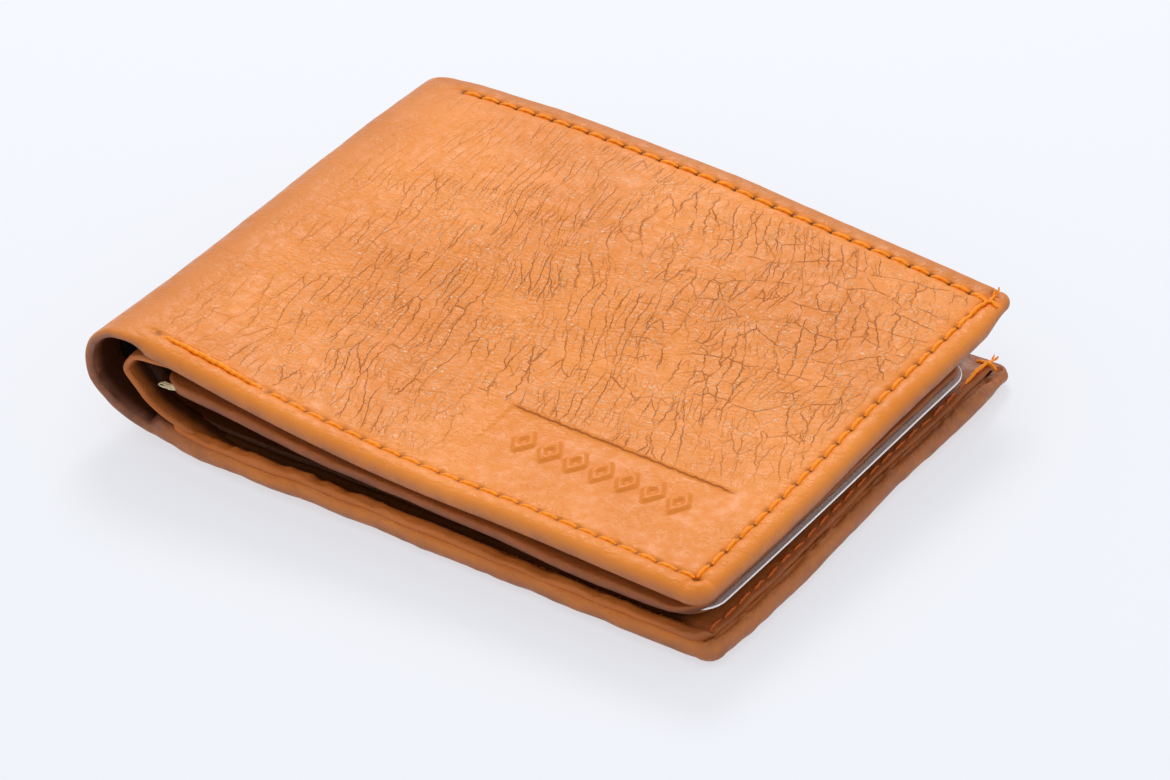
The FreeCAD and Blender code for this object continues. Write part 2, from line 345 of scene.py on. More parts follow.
def border_of(grid, ends):
    """A grid's border as one or two runs of points: round the free end, or along both sides only."""
    near, free, far, start = grid[:, 0], grid[-1, 1:], grid[-2::-1, -1], grid[0, -2:0:-1]
    if ends == "open":
        return [near, np.concatenate([grid[-1:, -1], far])]
    if ends == "free":
        return [np.concatenate([near, free, far])]
    return [np.concatenate([near, free, far, start])]


def outward(u, y, closed):
    """The outward direction in the flat, at each point of a border run."""
    if closed:
        du, dy = np.roll(u, -1) - np.roll(u, 1), np.roll(y, -1) - np.roll(y, 1)
    else:
        du, dy = np.gradient(u), np.gradient(y)
    size = np.maximum(np.hypot(du, dy), 1e-9)
    return dy / size, -du / size


def steps(low, high, size):
    """Even steps from low to high, as near to size as they come."""
    return np.linspace(low, high, max(2, int(round((high - low) / size)) + 1))


def flat_map(u, y, depth):
    """Three numbers or arrays as an array of triples."""
    return np.stack(np.broadcast_arrays(u, y, depth), axis=-1).astype(float)


def rolled_sheet(name, place, u, y, size, thickness, materials, ends="free", rim=None, corner=CORNER,
                 relief=None, zone=None, hem=2.4, tuck=0.2, top=0.0, inner=None, rim_ripple=0.0,
                 under=False, flip=False, rim_material=0, hem_painted_shade=0.0, inner_painted_shade=0.0,
                 shade=0.0, rim_shade=None, rim_turn=(0.5, 2.1)):
    """A sheet over the ranges u and y with rolled edges.

    place(u, y, depth) gives points; thickness is a number or a function of (u, y) for the rolled edge;
    relief(u, y) is the outer face's height; ends is open, free or closed; inner is the depth of the sheet's
    own inside between its hems, for sheets open at both ends; under closes a thin sheet's back;
    the hem and inside darkness settings are how dark the turned-in hem and the sheet's inside are painted,
    as painted shade; shade is how brown the outer face is painted, and rim_shade how brown the rolled edge
    is by its underside, both painted shade and cool reflection, as numbers or functions of (u, y), and
    rim_turn are the angles round the rim between which the one goes over into the other.
    """
    def thick(a, b):
        return thickness(a, b) if callable(thickness) else np.full(np.shape(a), float(thickness))

    def round_rim(a, b):
        return rim(a, b) if callable(rim) else np.full(np.shape(a), float(rim if rim else thickness / 2.0))

    # painted shade and cool reflection: how far the leather's colour is mixed towards its painted shade
    # colour
    def brown(a, b, turned=0.0):
        face = shade(a, b) if callable(shade) else shade
        if rim_shade is None:
            return face
        return face + turned * ((rim_shade(a, b) if callable(rim_shade) else rim_shade) - face)

    mesh = Mesh()
    u_line = steps(u[0], u[1], size[0])
    share = steps(0.0, 1.0, size[1] / (y[1] - y[0]))
    inset = round_rim(u_line, np.full(u_line.shape, y[0]))
    far_inset = round_rim(u_line, np.full(u_line.shape, y[1]))
    if ends != "open":
        free_inset = round_rim(np.array([u[1]]), np.array([(y[0] + y[1]) / 2.0]))[0]
        u_line = steps(u[0] + (free_inset if ends == "closed" else 0.0), u[1] - free_inset, size[0])
        inset = round_rim(u_line, np.full(u_line.shape, y[0]))
        far_inset = round_rim(u_line, np.full(u_line.shape, y[1]))
    if ends == "open":
        grid_u, grid_share = np.meshgrid(u_line, share * (y[1] - y[0]), indexing="ij")
    else:
        grid_u, grid_share = rounded_grid(u_line, share * (y[1] - y[0]), corner, ends == "closed")
    column = np.arange(len(u_line))[:, None]
    free_width = y[1] - y[0] - inset[column] - far_inset[column]
    grid_y = y[0] + inset[column] + grid_share * free_width / (y[1] - y[0])
    height = relief(grid_u, grid_y) if relief else 0.0
    surface = place(grid_u, grid_y, top - height)
    zones = zone(grid_u, grid_y) if zone else 0.0
    numbers = mesh.add(surface, flat_map(grid_u, grid_y, brown(grid_u, grid_y)), zones)
    mesh.skin(numbers)

    last_rows = []
    for run, run_u, run_y in zip(border_of(numbers, ends), border_of(grid_u, ends), border_of(grid_y, ends)):
        closed = ends == "closed"
        out_u, out_y = outward(run_u, run_y, closed)
        edge_height = relief(run_u, run_y) if relief else 0.0
        edge_zone = zone(run_u, run_y) * (0.0, 0.0, 1.0) if zone else 0.0
        t, r = thick(run_u, run_y), round_rim(run_u, run_y)
        along = np.cumsum(np.hypot(np.gradient(run_u), np.gradient(run_y)))
        fade = 1.0 if closed else ease(along, 0.5, 3.0) * ease(along[-1] - along, 0.0, 2.5)
        rows = [run]
        angles = np.linspace(0.0, math.pi, 11)[1:]
        for angle in angles[:-1] if under else angles:
            wave = rim_ripple * fade * math.sin(angle) * ripples(along, angle * 2.0, 4.0, 31)
            out = (r + wave) * math.sin(angle)
            depth = t * (1.0 - math.cos(angle)) / 2.0
            keep = (1.0 + math.cos(angle)) / 2.0
            a, b = run_u + out_u * out, run_y + out_y * out
            points = place(a, b, top + depth - edge_height * keep)
            tone = brown(run_u, run_y, ease(angle, *rim_turn))
            flat = flat_map(run_u + out_u * angle * r, run_y + out_y * angle * r, tone)
            rows.append(mesh.add(points, flat, edge_zone))
        if hem and not under:
            for part in np.linspace(0.0, 1.0, int(hem / 0.7) + 3)[1:]:
                back = part * (hem - r)
                pleats = ripples(along, part * 0.9 + 7.0, 1.5, 47)
                gather = rim_ripple * fade * 1.6 * pleats * math.sin(math.pi * part ** 0.6)
                a, b = run_u - out_u * back, run_y - out_y * back
                points = place(a, b, top + t - tuck * ease(part, 0.0, 0.6) + gather)
                # painted shade: the turned-in hem is painted darker deeper in
                painted_dark = hem_painted_shade * ease(back + 0.25 * pleats, 0.0, 2.2)
                painted_dark = np.stack([painted_dark * 0.0, painted_dark * 0.0, painted_dark], axis=-1)
                rows.append(mesh.add(points, flat_map(a, b, brown(run_u, run_y, 1.0)), painted_dark))
        mesh.skin(np.array(rows), material=rim_material, wrap=closed)
        last_rows.append((rows[-1], run_u, run_y))

    if inner is not None:
        near_row, far_row = last_rows[0][0], last_rows[1][0][::-1]
        rows = [near_row]
        for part in steps(0.0, 1.0, 3.0 / (y[1] - y[0])):
            b = y[0] + hem + part * (y[1] - y[0] - 2.0 * hem)
            # painted shade on the sheet's inside, less towards its middle
            less_shaded = 0.80 * ease(b - y[0], 10.0, 26.0)
            painted_dark = inner_painted_shade * float(ease(b - y[0] - hem, -2.0, 2.0) * (1.0 - less_shaded))
            rows.append(mesh.add(place(u_line, b, inner), flat_map(u_line, b, 0.0), (0.0, 0.0, painted_dark)))
        rows.append(far_row)
        mesh.skin(np.array(rows), material=min(1, len(materials) - 1))
    if under:
        back = place(grid_u, grid_y, top + thick(grid_u, grid_y))
        numbers_back = mesh.add(back, flat_map(grid_u, grid_y, brown(grid_u, grid_y, 1.0)))
        mesh.skin(numbers_back, swap=True)
        for (row, _, _), ring in zip(last_rows, border_of(numbers_back, ends)):
            mesh.skin(np.array([row, ring]), wrap=ends == "closed")
    return mesh.build(name, materials, flip)


# ---------------------------------------------------------------- node helpers, for materials and geometry

class Nodes:
    """Short names for the nodes that this script uses."""

    def __init__(self, tree):
        self.tree = tree

    def make(self, kind, inputs=None, **settings):
        """A node with its settings, and its inputs joined or set."""
        item = self.tree.nodes.new(kind)
        for key, value in settings.items():
            setattr(item, key, value)
        for key, value in (inputs or {}).items():
            if isinstance(value, bpy.types.NodeSocket):
                self.tree.links.new(value, item.inputs[key])
            else:
                item.inputs[key].default_value = value
        return item

    def attribute(self, name):
        return self.make("ShaderNodeAttribute", attribute_name=name).outputs["Vector"]

    def math(self, operation, a, b=0.0, clamp=False):
        return self.make("ShaderNodeMath", {0: a, 1: b}, operation=operation, use_clamp=clamp).outputs[0]

    def vector(self, operation, a, b):
        return self.make("ShaderNodeVectorMath", {0: a, 1: b}, operation=operation).outputs[0]

    def remap(self, value, low, high, to_low=0.0, to_high=1.0):
        """value goes from to_low at low to to_high at high, smoothly."""
        inputs = {0: value, 1: low, 2: high, 3: to_low, 4: to_high}
        return self.make("ShaderNodeMapRange", inputs, interpolation_type="SMOOTHSTEP").outputs[0]

    def noise(self, vector, scale, detail=2.0, colour=False):
        inputs = {"Vector": vector, "Scale": scale, "Detail": detail}
        return self.make("ShaderNodeTexNoise", inputs, noise_dimensions="3D").outputs[1 if colour else 0]

    def turned(self, vector, degrees):
        inputs = {"Vector": vector, "Angle": math.radians(degrees)}
        return self.make("ShaderNodeVectorRotate", inputs, rotation_type="Z_AXIS").outputs[0]

    def cells(self, vector, feature="F1"):
        inputs = {"Vector": vector, "Scale": 1.0, "Randomness": 1.0}
        item = self.make("ShaderNodeTexVoronoi", inputs, voronoi_dimensions="2D", feature=feature)
        return item.outputs["Distance"]

    def blend(self, factor, a, b):
        """A colour from a to b."""
        item = self.make("ShaderNodeMix", data_type="RGBA")
        for socket, value in ((item.inputs[0], factor), (item.inputs[6], a), (item.inputs[7], b)):
            if isinstance(value, bpy.types.NodeSocket):
                self.tree.links.new(value, socket)
            else:
                socket.default_value = value
        return item.outputs[2]


CREASE_LEAN = 0.28        # how far the creases lean back towards the spine, at the front leaf's free half


def crease_lines(n, place, turn, size, width):
    """Lines of an even width, in millimetres, along the edges of long cells: (line, distance to it)."""
    scale = (1.0 / size[0], 1.0 / size[1], 0.0)
    step = 0.06
    turned = n.turned(place, turn)
    here, aside, ahead = (
        n.cells(n.vector("MULTIPLY", n.vector("ADD", turned, offset), scale), "DISTANCE_TO_EDGE")
        for offset in ((0.0, 0.0, 0.0), (step, 0.0, 0.0), (0.0, step, 0.0)))
    rise = [n.math("SUBTRACT", other, here) for other in (aside, ahead)]
    steep = n.math("SQRT", n.math("ADD", *(n.math("MULTIPLY", part, part) for part in rise)))
    distance = n.math("MULTIPLY", n.math("DIVIDE", here, n.math("MAXIMUM", steep, 0.0006)), step)
    return n.remap(distance, width * 0.35, width, 1.0, 0.0), distance


def crease_network(n, flat, zone):
    """The leather's creases on the flat sheet: (lines, fine lines, pillows between them), each 0 to 1."""
    share = n.make("ShaderNodeSeparateXYZ", {0: zone}).outputs
    half = (0.5, 0.5, 0.5)
    slow = n.vector("MULTIPLY", n.vector("SUBTRACT", n.noise(flat, 0.04, 2.0, True), half), (11.0, 10.0, 0.0))
    quick = n.vector("MULTIPLY", n.vector("SUBTRACT", n.noise(flat, 0.60, 3.0, True), half), (1.5, 1.1, 0.0))
    bent = n.vector("ADD", n.vector("ADD", flat, slow), quick)
    axes = n.make("ShaderNodeSeparateXYZ", {0: flat}).outputs
    lean = n.remap(axes[0], COVER.joins[4], COVER.joins[4] + 50.0, 0.0, CREASE_LEAN)
    leaning = n.make("ShaderNodeCombineXYZ", {0: n.math("MULTIPLY", lean, axes[1])}).outputs[0]
    bent = n.vector("ADD", bent, leaning)
    vary = n.noise(flat, 0.30, 3.0)

    long_line, long_distance = crease_lines(n, bent, -2.0, (2.6, 13.0), 0.125)
    long_on = n.math("MULTIPLY", n.remap(n.noise(flat, 0.12, 3.0), 0.38, 0.58), share[0])
    long_on = n.math("MULTIPLY", long_on, n.remap(vary, 0.30, 0.52, 0.15, 1.0))
    cross_line, _ = crease_lines(n, bent, 68.0, (4.2, 8.5), 0.11)
    cross_on = n.math("MULTIPLY", n.remap(n.noise(flat, 0.15, 2.0), 0.36, 0.54), share[1])
    cross_on = n.math("MULTIPLY", cross_on, n.remap(vary, 0.36, 0.56, 0.1, 1.0))
    fine_line, _ = crease_lines(n, bent, 4.0, (1.2, 4.6), 0.095)
    both = n.math("MAXIMUM", share[0], share[1])
    fine_on = n.math("MULTIPLY", n.remap(n.noise(flat, 0.22, 3.0), 0.42, 0.66), both)

    line = n.math("MAXIMUM", n.math("MULTIPLY", long_line, long_on), n.math("MULTIPLY", cross_line, cross_on))
    pillow = n.math("MULTIPLY", n.remap(long_distance, 0.0, 1.0), long_on)
    return line, n.math("MULTIPLY", fine_line, fine_on), pillow


def crease_heights(d, y, zones):
    """Samples the crease network at points of the flat sheet; returns heights in millimetres."""
    shape = np.shape(d)
    count = int(np.prod(shape))
    mesh = bpy.data.meshes.new("crease_samples")
    mesh.vertices.add(count)
    mesh.vertices.foreach_set("co", flat_map(d, y, 0.0).astype(np.float32).ravel())
    attribute = mesh.attributes.new("zone", "FLOAT_VECTOR", "POINT")
    attribute.data.foreach_set("vector", np.broadcast_to(zones, shape + (3,)).astype(np.float32).ravel())
    sampler = bpy.data.objects.new("crease_samples", mesh)
    bpy.context.scene.collection.objects.link(sampler)
    tree = bpy.data.node_groups.new("crease_samples", "GeometryNodeTree")
    tree.interface.new_socket("Geometry", in_out="INPUT", socket_type="NodeSocketGeometry")
    tree.interface.new_socket("Geometry", in_out="OUTPUT", socket_type="NodeSocketGeometry")
    n = Nodes(tree)
    geometry = n.make("NodeGroupInput").outputs[0]
    position = n.make("GeometryNodeInputPosition").outputs[0]
    zone = n.make("GeometryNodeInputNamedAttribute", {"Name": "zone"}, data_type="FLOAT_VECTOR").outputs[0]
    for label, value in zip(("line", "fine", "pillow"), crease_network(n, position, zone)):
        inputs = {"Geometry": geometry, "Name": label, "Value": value}
        store = n.make("GeometryNodeStoreNamedAttribute", inputs, data_type="FLOAT", domain="POINT")
        geometry = store.outputs[0]
    n.make("NodeGroupOutput", {0: geometry})
    modifier = sampler.modifiers.new("creases", "NODES")
    modifier.node_group = tree
    made = sampler.evaluated_get(bpy.context.evaluated_depsgraph_get()).data
    found = {}
    for label in ("line", "fine", "pillow"):
        values = np.zeros(count, np.float32)
        made.attributes[label].data.foreach_get("value", values)
        found[label] = values.reshape(shape)
    bpy.data.objects.remove(sampler)
    bpy.data.meshes.remove(mesh)
    bpy.data.node_groups.remove(tree)
    return 0.06 * found["pillow"] - 0.05 * found["line"]


# ---------------------------------------------------------------- materials

def new_material(name):
    """An empty material and its nodes."""
    material = bpy.data.materials.new(name)
    material.use_nodes = True
    material.node_tree.nodes.clear()
    return material, Nodes(material.node_tree)


def finish_material(n, colour, roughness, height, settings):
    """Joins a colour, a roughness and a height in millimetres to a shader; settings are its plain sockets."""
    inputs = {"Base Color": colour, "Roughness": roughness}
    if height is not None:
        relief = {"Strength": 1.0, "Distance": MM, "Height": height}
        inputs["Normal"] = n.make("ShaderNodeBump", relief).outputs[0]
    shader = n.make("ShaderNodeBsdfPrincipled", inputs)
    for key, value in settings.items():
        shader.inputs[key].default_value = value
    n.make("ShaderNodeOutputMaterial", {"Surface": shader.outputs[0]})


def leather(name, light, dark, line_colour, painted_shade_colour, grain=1.0, roughness=(0.34, 0.54), pressed=None):
    """Pebbled leather with a crease network, needle holes and mottled dye, and with painted shade, painted
    reflection and painted highlights mixed into its colour.

    pressed is a painted shadow line along the far step of the debossed plate, as (from, to, across) on the
    flat sheet.
    """
    material, n = new_material(name)
    flat = n.attribute("flat")
    zone = n.attribute("zone")
    used_long, used_cross, darkness = n.make("ShaderNodeSeparateXYZ", {0: zone}).outputs
    used = n.math("MAXIMUM", used_long, used_cross)
    along, across, shade = n.make("ShaderNodeSeparateXYZ", {0: flat}).outputs
    line, fine, _ = crease_network(n, flat, zone)

    wobble = n.vector("SUBTRACT", n.noise(flat, 1.1, 2.0, True), (0.5, 0.5, 0.5))
    grain_place = n.vector("ADD", flat, n.vector("MULTIPLY", wobble, (0.8, 0.8, 0.0)))
    pebble_place = n.vector("MULTIPLY", n.turned(grain_place, -12.0), (1 / 1.05, 1 / 0.55, 0.0))
    pebble = n.cells(pebble_place, "SMOOTH_F1")
    pores = n.cells(n.vector("MULTIPLY", grain_place, (1 / 0.40, 1 / 0.30, 0.0)))
    fibre = n.noise(flat, 2.6, 3.0)
    grain_on = n.remap(n.noise(flat, 0.13, 2.0), 0.34, 0.60, 0.35, 1.0)

    mottle = n.remap(n.noise(flat, 0.045, 4.0), 0.32, 0.68)
    colour = n.blend(mottle, (*dark, 1.0), (*light, 1.0))
    dust = n.remap(n.noise(flat, 2.0, 3.0), 0.30, 0.72, 0.0, 0.16)
    colour = n.blend(dust, colour, (*dark, 1.0))
    # painted shade and cool reflection: the flat sheet's third number mixes the colour towards the painted
    # shade colour
    patchy = n.remap(n.noise(flat, 0.35, 5.0), 0.25, 0.75, 0.86, 1.10)
    colour = n.blend(n.math("MULTIPLY", shade, patchy, clamp=True), colour, (*painted_shade_colour, 1.0))
    # painted highlights: short light dashes painted into the colour where the leather is creased
    dashes = n.noise(n.vector("MULTIPLY", n.turned(grain_place, -8.0), (0.95, 4.6, 0.0)), 1.0, 2.0)
    glint_on = n.remap(n.noise(flat, 0.16, 2.0), 0.34, 0.58, 0.2, 1.0)
    glint = n.math("MULTIPLY", n.remap(dashes, 0.57, 0.65, 0.0, 0.88), glint_on)
    glint = n.math("MULTIPLY", glint, used)
    colour = n.blend(glint, colour, (1.0, 0.62, 0.37, 1.0))
    # crease lines painted darker: partly the creases' own colour, partly painted shade in them
    marks = n.math("MAXIMUM", n.math("MULTIPLY", line, 0.66), n.math("MULTIPLY", fine, 0.40))
    colour = n.blend(marks, colour, (*line_colour, 1.0))
    # painted shadow: a thin dark line painted along the far step of the debossed plate
    if pressed:
        shaky = n.math("ADD", across, n.remap(n.noise(flat, 0.8, 3.0), 0.2, 0.8, -0.12, 0.12))
        off = n.math("ABSOLUTE", n.math("SUBTRACT", shaky, pressed[2]))
        started = n.remap(along, pressed[0], pressed[0] + 1.5)
        painted_step_shadow = n.math("MULTIPLY", n.remap(off, 0.08, 0.17, 0.80, 0.0), started)
        painted_step_shadow = n.math("MULTIPLY", painted_step_shadow, n.remap(along, pressed[1] - 2.0, pressed[1], 1.0, 0.0))
        colour = n.blend(painted_step_shadow, colour, (*line_colour, 1.0))
    # painted shade: the zone's darkness mixes the colour towards near black, in needle holes and across the
    # wallet's shaded inside
    hole = tuple(part * 0.12 for part in line_colour)
    colour = n.blend(n.math("MINIMUM", darkness, 0.98), colour, (*hole, 1.0))

    height = n.math("MULTIPLY", pebble, -0.10 * grain)
    height = n.math("ADD", height, n.math("MULTIPLY", pores, -0.035 * grain))
    height = n.math("ADD", n.math("MULTIPLY", height, grain_on), n.math("MULTIPLY", fibre, 0.03 * grain))
    height = n.math("ADD", height, n.math("MULTIPLY", line, -0.10))
    height = n.math("ADD", height, n.math("MULTIPLY", fine, -0.05))
    height = n.math("ADD", height, n.math("MULTIPLY", glint, 0.06))
    gloss = n.remap(n.noise(flat, 0.5, 3.0), 0.3, 0.7, roughness[0], roughness[1])
    finish_material(n, colour, gloss, height, {"Specular IOR Level": 0.27})
    return material


def thread_material(name, colour, glow):
    """Twisted, waxed thread with fine slanting plies, painted darker between the plies as painted shade, and
    with a painted glow.
    """
    material, n = new_material(name)
    flat = n.attribute("flat")
    slanting = {"Vector": n.turned(flat, 35.0), "Scale": 1.3, "Distortion": 0.8}
    plies = n.make("ShaderNodeTexWave", slanting).outputs["Fac"]
    tone = n.remap(n.noise(flat, 0.5, 2.0), 0.3, 0.7)
    deep = tuple(part * 0.80 for part in colour)
    dyed = n.blend(tone, (*deep, 1.0), (*colour, 1.0))
    mixed = n.blend(n.math("MULTIPLY", plies, 0.20), dyed, (*deep, 1.0))
    finish_material(n, mixed, 0.40, n.math("MULTIPLY", plies, 0.02), {
        "Specular IOR Level": 0.30, "Emission Color": (1.0, 0.22, 0.0, 1.0), "Emission Strength": glow})
    return material


def cloth_material(name, colour):
    """Plain-woven lining cloth."""
    material, n = new_material(name)
    flat = n.attribute("flat")
    waves = {"Vector": flat, "Scale": 0.75, "Distortion": 0.4}
    warp, weft = (n.make("ShaderNodeTexWave", waves, bands_direction=way).outputs["Fac"] for way in "XY")
    weave = n.math("MULTIPLY", warp, weft)
    pale = tuple(part * 1.7 for part in colour)
    deep = tuple(part * 0.5 for part in colour)
    tone = n.blend(n.remap(n.noise(flat, 0.3, 3.0), 0.3, 0.7), (*colour, 1.0), (*pale, 1.0))
    mixed = n.blend(n.math("MULTIPLY", weave, 0.5), (*deep, 1.0), tone)
    finish_material(n, mixed, 0.8, n.math("MULTIPLY", weave, 0.06),
                    {"Sheen Weight": 0.1, "Specular IOR Level": 0.2})
    return material


def board_material():
    """Pressed fibre board."""
    material, n = new_material("fibre_board")
    flat = n.attribute("flat")
    fleck = n.noise(flat, 0.9, 5.0)
    colour = n.blend(fleck, (0.34, 0.25, 0.17, 1.0), (0.52, 0.42, 0.31, 1.0))
    finish_material(n, colour, 0.85, n.math("MULTIPLY", fleck, 0.05), {})
    return material


def film_edge_material():
    """The cut edge of the film, which gathers light and looks white; its glow is painted light."""
    material, n = new_material("film_edge")
    flat = n.attribute("flat")
    cloud = n.noise(flat, 0.7, 3.0)
    colour = n.blend(cloud, (0.86, 0.86, 0.88, 1.0), (0.98, 0.98, 0.99, 1.0))
    finish_material(n, colour, 0.22, n.math("MULTIPLY", cloud, 0.05), {
        "Specular IOR Level": 0.6, "Emission Color": (0.95, 0.97, 1.0, 1.0), "Emission Strength": 0.12})
    return material


def film_material():
    """Clear, slightly milky film."""
    material, n = new_material("clear_film")
    flat = n.attribute("flat")
    haze = n.remap(n.noise(flat, 0.12, 4.0), 0.3, 0.7, 0.12, 0.26)
    finish_material(n, (0.93, 0.94, 0.94, 1.0), haze, n.math("MULTIPLY", n.noise(flat, 0.1, 2.0), 0.25),
                    {"Specular IOR Level": 0.6, "Alpha": 0.30})
    return material


def fibre_material():
    """Raw, pale fibres at a torn edge."""
    material, n = new_material("raw_fibre")
    flat = n.attribute("flat")
    streak = n.noise(n.vector("MULTIPLY", flat, (0.6, 6.0, 1.0)), 1.0, 4.0)
    colour = n.blend(streak, (0.60, 0.44, 0.22, 1.0), (0.86, 0.74, 0.50, 1.0))
    finish_material(n, colour, 0.75, n.math("MULTIPLY", streak, 0.08), {"Specular IOR Level": 0.1})
    return material


TAN = leather("cover_leather", (0.95, 0.300, 0.042), (0.86, 0.250, 0.024), (0.38, 0.082, 0.010),
              (0.235, 0.090, 0.052), pressed=(front_d(EMBLEM_X[0]), front_d(EMBLEM_X[1]), EMBLEM_Y[1] - 0.1))
# the inside leather is a darker copy of the cover leather: painted shade for the wallet's inside
INNER = leather("inner_leather", (0.66, 0.180, 0.024), (0.54, 0.140, 0.016), (0.12, 0.026, 0.006),
                (0.17, 0.062, 0.036), grain=0.8)
# the orange thread glows a little: painted light
THREAD = thread_material("orange_thread", (1.0, 0.33, 0.004), 0.20)
# the bobbin thread is a darker copy of the orange thread, without its glow: painted shade
SHADED_BOBBIN = thread_material("bobbin_thread_in_shade", (0.66, 0.130, 0.008), 0.0)
CLOTH = cloth_material("bill_lining_cloth", (0.020, 0.011, 0.007))
BOARD_STUFF = board_material()
FILM = film_material()
FILM_EDGE = film_edge_material()
FIBRE = fibre_material()


# ---------------------------------------------------------------- the cover

def x_of(d):
    """The distance from the spine's outside, for a point of the cover."""
    return np.interp(d, COVER.distance, COVER.points[:, 0])


def seam_relief(along, across, depth):
    """A sewn line seen across: a puffed hem, a groove, and a dimple at each needle hole."""
    hole = ((along / PITCH) + 0.5) % 1.0 - 0.5
    puff = 0.20 * bump(across, 1.9, 1.0) + 0.05 * bump(across, 5.2, 1.2)
    groove = -0.20 * bump(across, SEAM, 0.42)
    dimple = -depth * bump(hole * PITCH, 0.0, 0.50) * bump(across, SEAM, 0.55)
    pucker = 0.07 * np.cos(2 * math.pi * along / PITCH) * bump(across, 2.4, 1.2)
    return puff + groove + dimple - pucker


def hole_darkness(along, across):
    """How dark the needle holes of a sewn line are painted: painted shade in the holes."""
    hole = ((along / PITCH) + 0.5) % 1.0 - 0.5
    return bump(hole * PITCH, 0.0, 0.52) * bump(across, SEAM, 0.50)


def emblem(x, y):
    """A debossed plate with a plain row of lozenges, crisp along its far edge and fading at its near edge."""
    wide = ease(x, EMBLEM_X[0], EMBLEM_X[0] + 0.9) * (1.0 - ease(x, EMBLEM_X[1] - 3.5, EMBLEM_X[1]))
    tall = ease(y, EMBLEM_Y[0], EMBLEM_Y[0] + 5.0) * (1.0 - ease(y, EMBLEM_Y[1] - 0.30, EMBLEM_Y[1]))
    depth = 0.12 + 0.13 * ease(y, 10.0, EMBLEM_Y[1])
    ridge = 0.12 * bump(y, EMBLEM_Y[1] + 0.45, 0.45) * ease(x, EMBLEM_X[0], EMBLEM_X[0] + 3.0) \
        * (1.0 - ease(x, EMBLEM_X[1] - 3.0, EMBLEM_X[1]))
    count = 7
    pitch = 4.6
    first = (EMBLEM_X[0] + EMBLEM_X[1]) / 2.0 - pitch * (count - 1) / 2.0
    nearest = np.clip(np.round((x - first) / pitch), 0, count - 1) * pitch + first
    middle = EMBLEM_Y[1] - 6.0
    reach = np.abs(x - nearest) / 2.1 + np.abs(y - middle) / 3.2
    lozenge = 0.42 * (1.0 - ease(reach, 0.76, 0.98)) - 0.38 * (1.0 - ease(reach, 0.26, 0.48))
    return ridge + wide * tall * (lozenge - depth)


def cover_zone(d, y, front):
    """Where the cover is creased: (long creases, cross creases, darkness), the darkness being painted shade
    in the needle holes.
    """
    x = x_of(d)
    edge = np.minimum(np.minimum(y, WIDTH - y), LENGTH - x)
    inside = ease(edge, 4.0, 6.5)
    smoother = 0.45 * ease(y, 50.0, 70.0) * (1.0 - ease(x, 30.0, 60.0))
    long_share = (0.35 * ease(x, 5.0, 14.0) + 0.65 * ease(x, 14.0, 34.0)) * inside * (1.0 - smoother)
    cross_share = ease(x, 55.0, 85.0) * ease(y, 22.0, 44.0) * inside
    if front:
        plate = ease(x, EMBLEM_X[0] - 7.0, EMBLEM_X[0] - 1.0)
        plate = plate * (1.0 - ease(x, EMBLEM_X[1] - 1.0, EMBLEM_X[1] + 4.0))
        plate = plate * (1.0 - ease(y, EMBLEM_Y[1] - 0.3, EMBLEM_Y[1] + 0.8))
        corner = ease(x, 84.0, 104.0) * (1.0 - ease(y, 20.0, 40.0))
        long_share = long_share * (1.0 - plate) * (1.0 - 0.8 * corner)
        cross_share = cross_share * (1.0 - plate)
    sewn = ease(x, SEAM_START - 1.5, SEAM_START)
    dark = np.maximum(hole_darkness(d, WIDTH - y) * 1.1, 0.55 * hole_darkness(d, y))
    free = np.where(d > MIDDLE, COVER.end - d, d)
    dark = np.maximum(dark, 0.8 * hole_darkness(y, free)) * sewn
    return np.stack(np.broadcast_arrays(long_share, cross_share, dark), axis=-1)


def cover_shade(d, y):
    """The back leaf is painted browner than the front, and the spine lies between them, with a little more
    along the far edge: painted shade and cool reflection.
    """
    along = 0.85 * (1.0 - ease(d, COVER.joins[1] + 2.0, COVER.joins[4] + 8.0))
    return np.maximum(along, 0.35 * ease(y, WIDTH - 3.4, WIDTH - 1.6))


def cover_rim_shade(d, y):
    """How brown the rolled edge's inner half is painted, as painted shade and cool reflection: most in the
    spine, and least along the back leaf.
    """
    spine = ease(d, COVER.joins[0] - 14.0, COVER.joins[1])
    front = ease(d, COVER.joins[3], COVER.joins[4] + 8.0)
    back_end = 1.0 - ease(d, 2.0, 8.0)
    return 0.35 + 0.65 * spine - 0.25 * front + 0.25 * back_end + 0.10 * ease(y, 20.0, 60.0)


def back_relief(u, y):
    """The back leaf lies on its grain side, which is pressed level."""
    pressed = ease(COVER.joins[0] + u, 0.0, 8.0)
    return cover_relief(-u, y, False) * (1.0 - 0.35 * pressed) - 0.30 * pressed


def cover_relief(d, y, front, creases=True):
    """Height of the cover's grain side over its smooth form."""
    x = x_of(d)
    sewn = ease(x, SEAM_START - 3.0, SEAM_START + 0.5)
    free = np.where(d > MIDDLE, COVER.end - d, d)
    height = 0.16 * ripples(d, y, 17.0, 11) * ease(x, 6.0, 25.0) + 0.045 * ripples(d, y, 4.5, 15)
    seams = seam_relief(d, y, 0.12) + seam_relief(d, WIDTH - y, 0.26) + seam_relief(y, free, 0.20)
    height = height + sewn * seams
    if front:
        height = height + emblem(x, y)
    if creases:
        height = height + crease_heights(d, y, cover_zone(d, y, front))
    return height


def cover_rim(d, y):
    """Thickness of the cover's rolled edge: thin in the spine and at the bill compartment's mouth."""
    x = x_of(d)
    near = SPINE_RIM + (LEAF_RIM - SPINE_RIM) * ease(x, 10.6, 13.0)
    far = SPINE_RIM + (FAR_RIM - SPINE_RIM) * ease(x, 10.6, 13.0)
    return near + (far - near) * ease(y, WIDTH - 10.0, WIDTH - 3.0)


def half_rim(d, y):
    """How far the cover's rolled edge reaches out of its flat part."""
    return cover_rim(d, y) / 2.0


